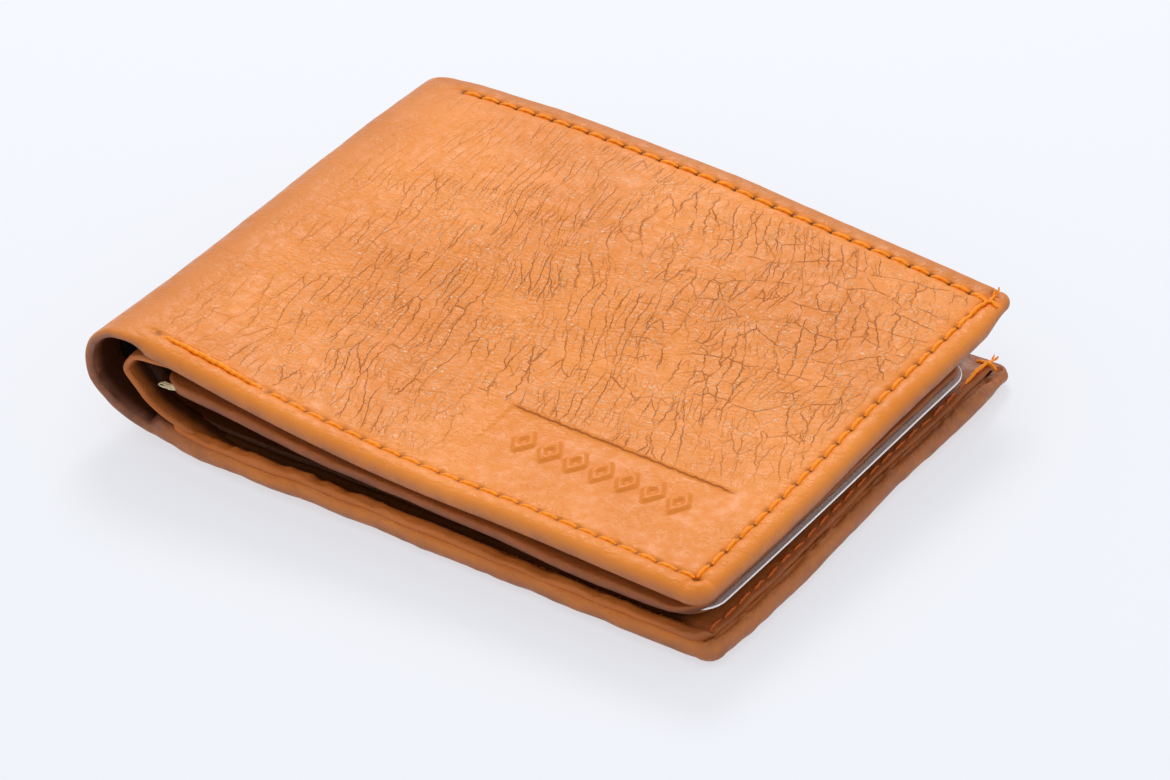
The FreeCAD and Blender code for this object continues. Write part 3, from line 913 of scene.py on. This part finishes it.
def make_cover():
    """The leather cover, from the back leaf's free edge round the spine to the front leaf's."""
    grid = 0.42
    fine = grid * 0.76
    front = rolled_sheet(
        "front_cover_leather", cover_point, (COVER.joins[4], COVER.end), (0.0, WIDTH), (fine, fine),
        cover_rim, [TAN], rim=half_rim, relief=lambda d, y: cover_relief(d, y, True),
        zone=lambda d, y: cover_zone(d, y, True), rim_ripple=0.05,
        shade=cover_shade, rim_shade=cover_rim_shade, rim_turn=(0.35, 2.0))
    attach(front, "front_leaf")
    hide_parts("front_cover")

    def back_place(u, y, depth):
        return cover_point(-np.asarray(u, float), y, depth)

    back = rolled_sheet(
        "back_cover_leather", back_place, (-COVER.joins[0], 0.0), (0.0, WIDTH), (grid * 1.5, grid * 1.5),
        lambda u, y: cover_rim(-u, y), [TAN], rim=lambda u, y: half_rim(-u, y),
        relief=back_relief, zone=lambda u, y: cover_zone(-u, y, False), rim_ripple=0.24, flip=True,
        shade=lambda u, y: cover_shade(-u, y), rim_shade=lambda u, y: cover_rim_shade(-u, y),
        rim_turn=(1.2, 2.6))
    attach(back, "back_leaf")
    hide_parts("back_cover")

    for index in range(4):
        span = (COVER.joins[index], COVER.joins[index + 1])
        fold = rolled_sheet(
            "spine_fold_%d_leather" % (index + 1), cover_point, span, (0.0, WIDTH), (grid, grid * 1.2),
            cover_rim, [TAN, CLOTH], ends="open", rim=half_rim,
            relief=lambda d, y: cover_relief(d, y, True, creases=False),
            zone=lambda d, y: cover_zone(d, y, True),
            hem=7.0, tuck=0.0, inner=0.95, rim_ripple=0.30, hem_painted_shade=0.93, shade=cover_shade,
            rim_shade=cover_rim_shade)
        start, end = (COVER.at(join, 0.0, 0.0) + CORNER_OF_FRAME for join in span)
        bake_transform(fold)
        if index < 3:
            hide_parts("spine_shell_%d" % (index + 1))


make_cover()


# ---------------------------------------------------------------- the lining loop inside the spine

LOOP_RIM = 1.25
LOOP_Y = (1.1, WIDTH - 3.0)
LOOP_CONTROL = ((26.0, 1.7), (11.6, 3.7), (6.9, 10.3), (6.6, 12.6), (10.4, 16.8), (26.0, 17.1))
LOOP = Path([np.array(point) for point in LOOP_CONTROL], 0.01, 0.01)
LOOP_MIDDLE = LOOP.joins[2]


def loop_point(d, y, depth):
    """A point of the lining loop. Its near edge is pulled a little out of true."""
    points = LOOP.at(d, y, depth)
    d, y, depth = np.broadcast_arrays(np.asarray(d, float), y, depth)
    points = settle(points, np.broadcast_to(d > LOOP_MIDDLE, d.shape))
    bow = bump(d, LOOP_MIDDLE, 6.0)
    points[..., 0] += bow * (0.25 * noise(y / 13.0, d / 30.0, 61) + 0.15 * noise(y / 4.0, d / 9.0, 62))
    points[..., 1] += 0.4 * noise(d / 6.0, y / 40.0, 63) * (1.0 - ease(y, 0.0, 12.0))
    return points


def make_loop():
    """The inner leather crosses the spine in a loop of its own, and is caught under both inner panels."""
    def relief(d, y):
        across_folds = 0.16 * ripples(d * 0.3, y, 3.2, 71) * bump(y, 3.0, 9.0)
        return across_folds + 0.10 * ripples(d, y, 7.0, 73)

    for index in range(4):
        span = (LOOP.joins[index], LOOP.joins[index + 1])
        # painted shade: the loop is painted browner, and near black on its hem and inside, where it lies in
        # the spine's shaded hollow
        piece = rolled_sheet(
            "spine_lining_fold_%d" % (index + 1), loop_point, span, LOOP_Y, (0.5, 0.6), LOOP_RIM, [INNER],
            ends="open", rim=LOOP_RIM / 2.0, relief=relief, hem=4.0, tuck=0.0, inner=0.6, rim_ripple=0.12,
            hem_painted_shade=0.93, inner_painted_shade=0.97, shade=0.45, rim_shade=0.30)
        start, end = (LOOP.at(join, 0.0, 0.0) + CORNER_OF_FRAME for join in span)
        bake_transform(piece)
        if index < 3:
            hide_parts("spine_lining_%d" % (index + 1))


make_loop()


# ---------------------------------------------------------------- the leaves' inner layers

LEAF_START = 13.5         # the inner layers begin here, from the outside of the spine
POCKET_FOOT = 5.0
POCKET_NAMES = {
    "back": ("card_pocket_1", "card_pocket_2", "card_pocket_3"),
    "front": ("slip_pocket", "card_pocket_1", "card_pocket_2"),
}


class Leaf:
    """The inner layers of one leaf: u runs from the spine to the free edge."""

    def __init__(self, side):
        self.side = side
        self.back = side == "back"
        self.body = side + "_leaf"
        self.free = 0.0 if self.back else COVER.end

    def d(self, u):
        """Distance along the cover of the leaf's point at u."""
        return -np.asarray(u, float) if self.back else np.asarray(u, float)

    def u(self, x):
        """The leaf's u at a distance from the spine's outside."""
        return x - LENGTH if self.back else front_d(x)

    def facing_in(self, base):
        """Places sheets whose outer face looks into the wallet."""
        return lambda u, y, depth: cover_point(self.d(u), y, base - depth)

    def facing_out(self, base):
        """Places sheets whose outer face looks out of the wallet."""
        return lambda u, y, depth: cover_point(self.d(u), y, base + depth)

    def sheet(self, name, node, base, inwards, x, free_inset, y, thickness, material, slot,
              grid=(1.0, 1.0), **more):
        """A closed sheet that rides the leaf; an x that ends in None ends free_inset from the free edge."""
        place = self.facing_in(base) if inwards else self.facing_out(base)
        span = (self.u(x[0]), self.free - free_inset if x[1] is None else self.u(x[1]))
        piece = rolled_sheet(name, place, span, y, grid, thickness, [material], ends="closed", hem=0.0,
                             under=True, flip=self.back != inwards, **more)
        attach(piece, self.body)
        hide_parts(node)
        return piece


def painted_cavity_shade(y, free):
    """Painted shade: the inner leather is painted darker in a band just inside its near border and its free
    edge, and less in its middle.
    """
    less_shaded = ease(y, 6.0, 24.0) * ease(free, 8.0, 24.0)
    dark = 0.88 * ease(y, 1.9, 3.6) * ease(free, 5.0, 9.0) * (1.0 - 0.84 * less_shaded)
    return np.stack([dark * 0.0, dark * 0.0, dark], axis=-1)


def painted_border_shade(free):
    """The inner panel is painted browner along its free edge: painted shade."""
    return 0.15 + 0.35 * (1.0 - ease(free, 2.0, 14.0))


def pocket_relief(mouth):
    """A pocket's turned hem under its mouth, and the outline of a card pressed through it."""
    def relief(u, y):
        hem = -0.10 * bump(y, mouth - 5.0, 0.35) + 0.05 * bump(y, mouth - 1.0, 1.2)
        crease = -0.08 * bump(y, mouth - 1.4, 0.22)
        return hem + crease + 0.05 * ripples(u, y, 9.0, 83)
    return relief


def pocket_face(step):
    """Depth of a pocket's face in its leaf; the pockets lie on each other, from the panel inwards."""
    return PANEL[1] + POCKET * (step + 1) + 0.1


def panel_relief(u, y):
    """Slight waves in the inner leather."""
    return 0.10 * ripples(u, y, 8.0, 81) + 0.05 * ripples(u, y, 2.6, 87)


def back_panel_relief(u, y):
    """The bottom leaf's inner panel: a crumpled roll along its near edge, and a worn free edge."""
    x = u + LENGTH
    ridges = (1.0 - np.abs(ripples(x, y * 0.6, 3.6, 93))) ** 2 - 0.4
    crumple = (0.30 + 0.45 * bump(x, 40.0, 17.0)) * ridges + 0.34 * ripples(x, y * 0.7, 6.5, 95)
    tall = 0.85 - 0.25 * ease(x, 56.0, 76.0)
    roll = (tall + crumple) * bump(y, 2.0, 1.1) * ease(x, 14.0, 17.0)
    groove = -0.62 * bump(y, SEAM + 0.1, 0.55)
    free_edge = (0.12 + 0.22 * ripples(x * 0.5, y, 3.0, 97)) * bump(x, LENGTH - 3.6, 1.3)
    return panel_relief(u, y) + roll + groove + free_edge


def make_leaf(side):
    """Board, bill cloth, inner panel and card pockets of one leaf."""
    leaf = Leaf(side)
    leaf.sheet(side + "_board", side + "_stiffener_board", BOARD[0], False, (LEAF_START, LENGTH - 8.3), 0.0,
               (8.3, WIDTH - 8.3), BOARD[1] - BOARD[0], BOARD_STUFF, "board", grid=(2.5, 2.5), corner=0.8)
    cloth_y = (1.4, WIDTH - 2.6)
    cloth_inset = 4.0
    cloth = leaf.sheet(side + "_bill_cloth", side + "_bill_lining", BILL_CLOTH[0], False, (LEAF_START, None),
                       cloth_inset, cloth_y, BILL_CLOTH[1] - BILL_CLOTH[0], CLOTH, "lining_cloth",
                       grid=(1.5, 1.5), corner=1.0,
                       relief=lambda u, y: -0.05 - 0.05 * ripples(u, y, 6.0, 91))
    # the inner panel: painted shade in a band inside its edges, and painted browner along its free edge and
    # rolled rim
    leaf.sheet(side + "_panel_leather", side + "_inner_panel", PANEL[1], True, (LEAF_START + 1.0, None), 2.4,
               (0.9 if leaf.back else 1.5, WIDTH - 2.2), 0.9, INNER, "inner_leather", grid=(0.5, 0.5),
               corner=1.5, rim=0.5, relief=back_panel_relief if leaf.back else panel_relief, rim_ripple=0.12,
               zone=lambda u, y: painted_cavity_shade(y, leaf.free - u), shade=lambda u, y: painted_border_shade(leaf.free - u),
               rim_shade=0.5, rim_turn=(1.0, 2.4))
    # the pockets carry the same painted cavity shade as the panel
    for step, (pocket, mouth) in enumerate(zip(POCKET_NAMES[side], POCKET_MOUTHS)):
        node = side + "_" + pocket
        leaf.sheet(node + "_leather", node, pocket_face(step), True, (LEAF_START + 2.0, LENGTH - 8.0), 0.0,
                   (POCKET_FOOT, mouth), POCKET, INNER, "inner_leather", grid=(1.0, 0.5), corner=1.0,
                   relief=pocket_relief(mouth), zone=lambda u, y: painted_cavity_shade(y, leaf.free - u))
    return leaf


LEAVES = {side: make_leaf(side) for side in ("back", "front")}


# ---------------------------------------------------------------- the centre flap

FLAP_HINGE = joint_place("flap_turn")
FLAP_SLOPE = math.radians(2.1)
FLAP_START = 13.4         # the flap's own layers begin here, from the outside of the spine
FLAP_END = 111.0
FLAP_Y = (1.5, 73.0)
FLAP_CORNER = 4.5
FLAP_POCKET_MOUTHS = (56.0, 44.0)
WINDOW_MARGIN = 9.0


def flap_point(x, y, depth):
    """A point of the flap; depth is measured down from its middle line."""
    x, y, depth = np.broadcast_arrays(np.asarray(x, float), y, depth)
    z = FLAP_HINGE[1] - (x - FLAP_HINGE[0]) * math.tan(FLAP_SLOPE) - depth
    near = 1.0 - ease(y, 1.0, 26.0)
    z = z + 0.42 * front_drop(x, y) * ease(x, 10.0, 40.0)
    wavy = 0.30 * noise(x / 15.0, y / 40.0, 101) + 0.12 * noise(x / 5.0, y / 20.0, 102)
    z = z + near * wavy * ease(x, 16.0, 26.0)
    sway = 0.3 * noise(x / 24.0, y / 70.0, 103)
    return np.stack([x, y + sway, z], axis=-1)


def flap_sheet(name, node, base, downwards, x, y, thickness, material, slot, grid=(0.8, 0.8), **more):
    """A closed sheet of the flap. base is its outer face's depth."""
    def place(u, v, depth):
        return flap_point(u, v, base - depth if downwards else base + depth)

    settings = {"corner": FLAP_CORNER, "rim": None if callable(thickness) else thickness / 2.0}
    settings.update(more)
    materials = material if isinstance(material, list) else [material]
    piece = rolled_sheet(name, place, x, y, grid, thickness, materials, ends="closed", hem=0.0, under=True,
                         flip=downwards, **settings)
    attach(piece, "centre_flap")
    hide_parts(node)


def rounded_loop(x, y, corner, per_side=70, per_corner=9):
    """Points round a rectangle with rounded corners."""
    middles = ((x[1] - corner, y[0] + corner), (x[1] - corner, y[1] - corner), (x[0] + corner, y[1] - corner),
               (x[0] + corner, y[0] + corner))
    points = []
    for index, (cx, cy) in enumerate(middles):
        first = math.radians(90.0 * index - 90.0)
        arc = first + np.linspace(0.0, math.pi / 2.0, per_corner)
        run = np.stack([cx + corner * np.cos(arc), cy + corner * np.sin(arc)], axis=1)
        points.append(run)
        following = middles[(index + 1) % 4]
        start, end = run[-1], np.array(following) + corner * direction(first + math.pi / 2.0)
        points.append(start + (end - start) * np.linspace(0.0, 1.0, per_side)[1:-1, None])
    return np.concatenate(points)


def window_frame():
    """The leather frame round the clear window, on the flap's underside."""
    outer = rounded_loop((FLAP_START + 0.3, FLAP_END), (FLAP_Y[0] + 1.0, FLAP_Y[1]), FLAP_CORNER)
    inner = rounded_loop((FLAP_START + WINDOW_MARGIN, FLAP_END - WINDOW_MARGIN),
                         (FLAP_Y[0] + WINDOW_MARGIN, FLAP_Y[1] - WINDOW_MARGIN), 2.5)
    top, bottom = 0.46, 1.02
    middle, half = (top + bottom) / 2.0, (bottom - top) / 2.0
    profile = [(0.0, top), (0.5, top), (1.0, top)]
    for angle in np.linspace(0.0, math.pi, 7)[1:-1]:
        profile.append((1.0 + 0.035 * math.sin(angle), middle - half * math.cos(angle)))
    profile += [(share, bottom) for share in np.linspace(1.0, 0.0, 15)]
    for angle in np.linspace(0.0, math.pi, 5)[1:-1]:
        profile.append((-0.025 * math.sin(angle), middle + half * math.cos(angle)))
    mesh = Mesh()
    rows = []
    for share, depth in profile:
        ring = inner + (outer - inner) * (share * 0.96)
        seam = -0.14 * bump(share, 0.61, 0.05) if depth == bottom else 0.0
        wrinkle = 0.06 * ripples(ring[:, 0], ring[:, 1], 4.0, 107) if depth == bottom else 0.0
        points = flap_point(ring[:, 0], ring[:, 1], depth + seam + wrinkle)
        # painted shade: the frame on the flap's underside is painted browner
        rows.append(mesh.add(points, flat_map(ring[:, 0], ring[:, 1], 0.8)))
    rows.append(rows[0])
    mesh.skin(np.array(rows), wrap=True)
    piece = mesh.build("flap_window_leather", [INNER], flip=True)
    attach(piece, "centre_flap")
    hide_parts("flap_window_frame")


def flap_cavity_shade(x, y):
    """The same painted shade, from the flap's own edges."""
    return painted_cavity_shade(y - 1.5, FLAP_END + 2.0 - x)


def make_flap():
    """The page between the leaves, with card pockets on its front and a clear window on its back."""
    def folded(x, y):
        return 0.85 + 0.75 * (1.0 - ease(y, 3.4, 6.0)) * (1.0 - ease(x, FLAP_END - 9.0, FLAP_END - 2.0))

    whole = (FLAP_START, FLAP_END)
    # painted shade: the flap is painted browner, its rolled rim browner still, and its panel, hinge and
    # pockets darker near their edges
    flap_sheet("flap_panel_leather", "flap_front_panel", -0.62, False, whole, FLAP_Y, folded, INNER,
               "inner_leather", grid=(0.5, 0.5), rim=lambda x, y: folded(x, y) * 0.45, rim_ripple=0.14,
               shade=0.45, rim_shade=0.95,
               relief=lambda x, y: panel_relief(x, y) + 0.22 * bump(y, 3.4, 1.8), zone=flap_cavity_shade)
    flap_sheet("flap_clear_film", "flap_clear_window", 0.19, False, (FLAP_START + 1.0, FLAP_END + 0.9),
               (FLAP_Y[0] + 2.0, FLAP_Y[1] - 0.6), 0.30, [FILM, FILM_EDGE], "clear_film", grid=(1.2, 1.2),
               rim_material=1)
    flap_sheet("flap_core_leather", "flap_core", -0.15, False, (FLAP_START + 2.0, FLAP_END - 1.5),
               (FLAP_Y[0] + 1.5, FLAP_Y[1] - 1.5), 0.3, INNER, "inner_leather", grid=(2.0, 2.0))
    flap_sheet("flap_hinge_leather", "flap_hinge_strip", -0.25, False, (FLAP_HINGE[0] - 0.1, 19.0),
               (FLAP_Y[0] + 5.0, FLAP_Y[1]), 0.5, INNER, "inner_leather", corner=0.8, zone=flap_cavity_shade)
    for step, mouth in enumerate(FLAP_POCKET_MOUTHS):
        name = "flap_card_pocket_%d" % (step + 1)
        flap_sheet(name + "_leather", name, -0.62 - 0.3 * (step + 1), False,
                   (FLAP_START + 4.0, FLAP_END - 2.5), (FLAP_Y[0] + 3.6, mouth), 0.3, INNER,
                   "inner_leather", grid=(1.0, 0.5), corner=2.0,
                   relief=pocket_relief(mouth), zone=flap_cavity_shade)
    window_frame()


def make_tab():
    """The tab on the lining loop that carries the flap's hinge strip."""
    low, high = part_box("flap_anchor_tab")
    low, high = np.array(low) / MM - CORNER_OF_FRAME, np.array(high) / MM - CORNER_OF_FRAME

    def place(u, y, depth):
        u, y, depth = np.broadcast_arrays(np.asarray(u, float), y, depth)
        return np.stack([high[0] + 0.35 - depth, y, u], axis=-1)

    tab = rolled_sheet("flap_tab_leather", place, (low[2] - 1.2, high[2] + 1.2), (low[1], high[1]),
                       (0.3, 1.0), 0.7, [INNER], ends="closed", hem=0.0, under=True, corner=0.5,
                       # painted shade: the tab is painted darker, as it lies in the spine's shaded hollow
                       zone=lambda u, y: painted_cavity_shade(y + 9.0, 20.0),
                       relief=lambda u, y: 0.05 * ripples(u, y, 5.0, 109))
    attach(tab, "spine_2")
    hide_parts("flap_anchor_tab")


make_flap()
make_tab()


# ---------------------------------------------------------------- sewing

class Sewing:
    """Collects stitches, each a short twisted thread that dips into its needle holes."""

    def __init__(self, seed):
        self.mesh = Mesh()
        self.random = np.random.default_rng(seed)
        self.material = 0

    def thread(self, line, radius, twist=2.6, taper=True):
        """A two-ply thread along a line of points."""
        line = np.asarray(line, float)
        tangent = np.gradient(line, axis=0)
        tangent /= np.maximum(np.linalg.norm(tangent, axis=1), 1e-9)[:, None]
        helper = np.array([0.0, 0.0, 1.0])
        side = np.cross(tangent, helper)
        side /= np.maximum(np.linalg.norm(side, axis=1), 1e-9)[:, None]
        up = np.cross(side, tangent)
        gone = np.concatenate([[0.0], np.cumsum(np.linalg.norm(np.diff(line, axis=0), axis=1))])
        around = np.linspace(0.0, 2.0 * math.pi, 11)[:-1]
        turn = around[None, :] - gone[:, None] * twist
        size = radius * (1.0 + 0.17 * np.cos(2.0 * turn))
        if taper:
            share = gone / gone[-1]
            full = np.sin(math.pi * np.clip(share, 0.02, 0.98))
            size = size * (0.55 + 0.45 * np.sqrt(np.clip(full, 0.0, 1.0)))[:, None]
        points = line[:, None] + side[:, None] * (size * np.cos(around))[..., None] \
            + up[:, None] * (size * np.sin(around))[..., None]
        offset = self.random.random() * 30.0
        flat = np.broadcast_arrays(gone[:, None] + offset, around[None, :] * radius, 0.0)
        numbers = self.mesh.add(points, np.stack(flat, axis=-1))
        self.mesh.skin(numbers, self.material, wrap=True)
        for end, swap in ((0, False), (-1, True)):
            tip = self.mesh.add(line[end][None, :] + (line[end] - line[1 if end == 0 else -2])[None, :] * 0.3,
                                flat_map(gone[end] + offset, 0.0, 0.0))
            ring = np.stack([np.repeat(tip, len(around)), numbers[end]])
            self.mesh.skin(ring, self.material, wrap=True, swap=swap)

    def stitch(self, place, a, b, height, radius=0.28, slant=0.18, lift=0.06, samples=13):
        """One stitch between two holes, given as (u, y); height(u, y) is the face's own relief."""
        a, b = np.array(a, float), np.array(b, float)
        along = (b - a) / np.linalg.norm(b - a)
        across = np.array([-along[1], along[0]])
        drift = slant + 0.06 * self.random.standard_normal()
        lift = lift + 0.03 * self.random.standard_normal()
        t = np.linspace(0.07, 0.93, samples)
        arch = np.sin(math.pi * t) ** 0.6
        place_2d = a + (b - a) * t[:, None] + across * (drift * (t - 0.5) * 2.0 * 0.5)[:, None]
        over = height(place_2d[:, 0], place_2d[:, 1])
        level = np.maximum(over, np.max(over) - 0.16) if lift > 0 else over
        depth = -(level + lift + radius * 0.35) * arch + 0.30 * (1.0 - arch)
        thick = radius * (1.0 + 0.05 * self.random.standard_normal())
        self.thread(place(place_2d[:, 0], place_2d[:, 1], depth), thick)

    def seam(self, place, holes, height, **settings):
        """Stitches from hole to hole."""
        for a, b in zip(holes[:-1], holes[1:]):
            self.stitch(place, a, b, height, **settings)

    def done(self, name, body, node):
        """Makes the collected stitches one piece, in place of a CAD node."""
        piece = self.mesh.build(name, [THREAD, SHADED_BOBBIN] if self.material else [THREAD])
        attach(piece, body)
        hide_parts(node)


def spaced(low, high):
    """Needle holes between two distances, on whole pitches."""
    return np.arange(math.ceil(low / PITCH), math.floor(high / PITCH) + 1) * PITCH


def seam_points(along, across, swap=False):
    """Holes as (u, y) for a seam along u, or along y when swapped."""
    pairs = [(a, across) for a in along]
    return [(b, a) for a, b in pairs] if swap else pairs


def sew_cover(side):
    """The edge seam of one leaf, seen on the cover and as the bobbin thread on the inner panel."""
    leaf = LEAVES[side]
    outside = leaf.facing_out(0.0)

    def height(u, y):
        return cover_relief(leaf.d(u), y, not leaf.back, creases=False)

    corner_u = leaf.free - SEAM
    start = leaf.u(SEAM_START)
    lengthways = spaced(start, corner_u - 1.0)
    crossways = spaced(SEAM, WIDTH - SEAM - 1.0)
    sewing = Sewing(201 if leaf.back else 200)
    near = seam_points(list(lengthways) + [corner_u], SEAM)
    first = 6 if not leaf.back else 0
    if first:
        sewing.stitch(outside, near[0], near[first], height, radius=0.36, slant=0.0, lift=0.26, samples=90)
    sewing.seam(outside, near[first:], height, radius=0.25, lift=0.04)
    sewing.seam(outside, seam_points(crossways, corner_u, True), height, radius=0.29, lift=0.12)
    far = seam_points(list(lengthways) + [corner_u], WIDTH - SEAM)
    inside = leaf.facing_in(PANEL[1])
    panel_near = seam_points(spaced(leaf.u(LEAF_START + 3.0), corner_u - 1.0), SEAM)
    panel_free = seam_points(spaced(SEAM, WIDTH - SEAM - 1.0), corner_u, True)
    panel_height = back_panel_relief if leaf.back else panel_relief
    sewing.material = 1
    sewing.seam(inside, panel_near, panel_height, radius=0.16, lift=-0.16)
    sewing.seam(inside, panel_free, panel_height, radius=0.23, lift=0.02)
    sewing.done(side + "_edge_thread", leaf.body, side + "_edge_stitching")

    hem = Sewing(211 if leaf.back else 210)
    hem.seam(outside, far, height, radius=0.25, slant=0.30, lift=0.14)
    hem.done(side + "_bill_thread", leaf.body, side + "_bill_stitching")

    sides = Sewing(221 if leaf.back else 220)
    for x in (LEAF_START + 3.5, LENGTH - 9.5):
        for step in range(3):
            low = POCKET_MOUTHS[step + 1] if step < 2 else POCKET_FOOT + 1.0
            holes = seam_points(np.arange(low + 0.8, POCKET_MOUTHS[step] - 0.5, PITCH), leaf.u(x), True)
            sides.seam(leaf.facing_in(pocket_face(step)), holes, pocket_relief(POCKET_MOUTHS[step]))
    sides.done(side + "_pocket_thread", leaf.body, side + "_pocket_stitching")


def sew_flap():
    """The seam round the window frame."""
    inset = 3.5
    middle = rounded_loop((FLAP_START + inset, FLAP_END - inset), (FLAP_Y[0] + inset, FLAP_Y[1] - inset),
                          2.5, 400, 40)
    closed = np.concatenate([middle, middle[:1]])
    gone = np.concatenate([[0.0], np.cumsum(np.linalg.norm(np.diff(closed, axis=0), axis=1))])
    count = int(gone[-1] / PITCH)
    marks = np.linspace(0.0, gone[-1], count + 1)
    holes = np.stack([np.interp(marks, gone, closed[:, k]) for k in (0, 1)], axis=1)
    sewing = Sewing(230)
    sewing.seam(lambda u, y, depth: flap_point(u, y, 1.02 - depth), list(holes),
                lambda u, y: np.zeros(np.shape(u)))
    sewing.done("flap_thread", "centre_flap", "flap_stitching")


class Strand(Sewing):
    """Loose ends: knots, tails and raw fibres, made as bare threads."""

    def wisp(self, start, end, radius, bow, kink=0.3):
        """A thin tapering fibre from start to end, bowed sideways."""
        start, end, bow = (np.array(point, float) for point in (start, end, bow))
        t = np.linspace(0.0, 1.0, 15)[:, None]
        wave = kink * np.sin(t * 7.0 + self.random.random() * 6.0) * t * (1.0 - t)
        line = start + (end - start) * t + bow * (4.0 * t * (1.0 - t)) + np.array([0.3, 0.5, 1.0]) * wave
        self.thread(line, radius, twist=1.2)


def fray_flap():
    """The flap's near corner by the spine is torn, and its pale fibres stick out."""
    strand = Strand(301)
    tip = flap_point(FLAP_START + 1.6, FLAP_Y[0] + 0.7, 0.05)
    for _ in range(14):
        spread = strand.random.standard_normal(3)
        start = tip + np.array([1.9 + 0.3 * spread[0], 0.12 * spread[1], 0.14 * spread[2] + 0.20])
        reach = 0.3 + 1.2 * strand.random.random()
        end = tip + np.array([-reach, -0.20 + 0.25 * spread[2], 0.16 * spread[0] - 0.10])
        strand.wisp(start, end, 0.07 + 0.05 * strand.random.random(), (0.0, -0.1, 0.16 * spread[1]), kink=0.2)
    piece = strand.mesh.build("flap_frayed_fibres", [FIBRE])
    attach(piece, "centre_flap")


def tie_corner(side):
    """The two seams cross at the far free corner, where the thread is tied off, on the face that looks up."""
    leaf = LEAVES[side]
    face = leaf.facing_in(PANEL[1]) if leaf.back else leaf.facing_out(0.0)
    strand = Strand(311 if leaf.back else 310)
    corner_u = leaf.free - SEAM

    def over(points, lift):
        """Points (u, y) on the cover, raised by lift."""
        points = np.array(points, float)
        t = np.linspace(0.0, 1.0, 24)
        marks = np.linspace(0.0, 1.0, len(points))
        u, y = (np.interp(t, marks, points[:, k]) for k in (0, 1))
        height = back_panel_relief(u, y) if leaf.back else cover_relief(leaf.d(u), y, False, creases=False)
        return face(u, y, -height - lift * np.sin(math.pi * np.clip(t, 0.03, 0.97)) - 0.05)

    far = WIDTH - SEAM
    upwards = [(corner_u, far - 6.4), (corner_u + 0.1, far - 2.5), (corner_u + 0.5, far + 1.2)]
    sideways = [(corner_u - 1.6, far - 0.2), (corner_u + 1.0, far - 0.5), (leaf.free - 1.2, far - 1.0)]
    strand.thread(over(upwards, 0.42), 0.28)
    strand.thread(over(sideways, 0.30), 0.26)
    knot = over([(corner_u + 0.3, far + 0.7), (corner_u + 0.5, far + 1.2)], 0.1)[-1]
    tail = 0.3 if leaf.back else 1.0
    strand.wisp(knot, knot + np.array([0.3, 0.7, 1.3 * tail]), 0.20, (0.15, 0.1, 0.0))
    strand.wisp(knot + np.array([-0.3, 0.0, 0.0]), knot + np.array([-0.5, 0.9, 0.5 * tail]), 0.16,
                (0.0, 0.2, 0.1))
    piece = strand.mesh.build(side + "_corner_knot", [THREAD])
    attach(piece, leaf.body)


for side in ("back", "front"):
    sew_cover(side)
    tie_corner(side)
sew_flap()
fray_flap()


# ---------------------------------------------------------------- camera, light and floor

def make_camera():
    """A long lens, above and to the right of the near edge."""
    around, above, roll = math.radians(128.76), math.radians(34.14), math.radians(-4.39)
    distance = 628.1
    look_at = np.array([65.8, 37.7, 7.2]) + CORNER_OF_FRAME
    level_reach = math.cos(above)
    forward = Vector((level_reach * math.cos(around), level_reach * math.sin(around), -math.sin(above)))
    right = forward.cross(Vector((0, 0, 1))).normalized()
    up = right.cross(forward)
    level = right * math.cos(roll) + up * math.sin(roll)
    upright = -right * math.sin(roll) + up * math.cos(roll)
    place = Matrix((level, upright, -forward)).transposed().to_4x4()
    place.translation = Vector(look_at * MM) - forward * distance * MM
    data = bpy.data.cameras.new("camera")
    data.lens = 130.0
    data.sensor_width = 36.0
    data.clip_start, data.clip_end = 0.01, 20.0
    camera = bpy.data.objects.new("camera", data)
    camera.matrix_world = place
    bpy.context.scene.collection.objects.link(camera)
    bpy.context.scene.camera = camera


def area_light(name, place, size, power, colour):
    """A soft rectangular lamp that points at the wallet."""
    data = bpy.data.lights.new(name, "AREA")
    data.shape = "RECTANGLE"
    data.size, data.size_y = size
    data.energy = power
    data.color = colour
    lamp = bpy.data.objects.new(name, data)
    lamp.location = place
    lamp.rotation_mode = "QUATERNION"
    lamp.rotation_quaternion = (Vector((0.0, 0.0, 0.01)) - Vector(place)).to_track_quat("-Z", "Y")
    bpy.context.scene.collection.objects.link(lamp)


def make_surroundings():
    """A pale floor, an even pale sky and one large soft lamp."""
    world = bpy.data.worlds.new("studio")
    bpy.context.scene.world = world
    world.use_nodes = True
    background = world.node_tree.nodes["Background"]
    background.inputs["Color"].default_value = (0.93, 0.96, 1.0, 1.0)
    background.inputs["Strength"].default_value = 0.80

    floor = bpy.data.meshes.new("floor")
    reach = 3.0
    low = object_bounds()[0][2]
    corners = [(-reach, -reach, low), (reach, -reach, low), (reach, reach, low), (-reach, reach, low)]
    floor.from_pydata(corners, [], [(0, 1, 2, 3)])
    ground = bpy.data.objects.new("floor", floor)
    material, n = new_material("pale_floor")
    finish_material(n, (0.30, 0.31, 0.33, 1.0), 0.6, None, {
        "Specular IOR Level": 0.1, "Emission Color": (0.935, 0.945, 0.985, 1.0), "Emission Strength": 0.63})
    floor.materials.append(material)
    bpy.context.scene.collection.objects.link(ground)

    area_light("key", (-0.42, 0.60, 0.70), (0.40, 0.30), 3.6, (1.0, 0.99, 0.97))


make_camera()
make_surroundings()
bpy.context.scene.view_settings.view_transform = "Standard"
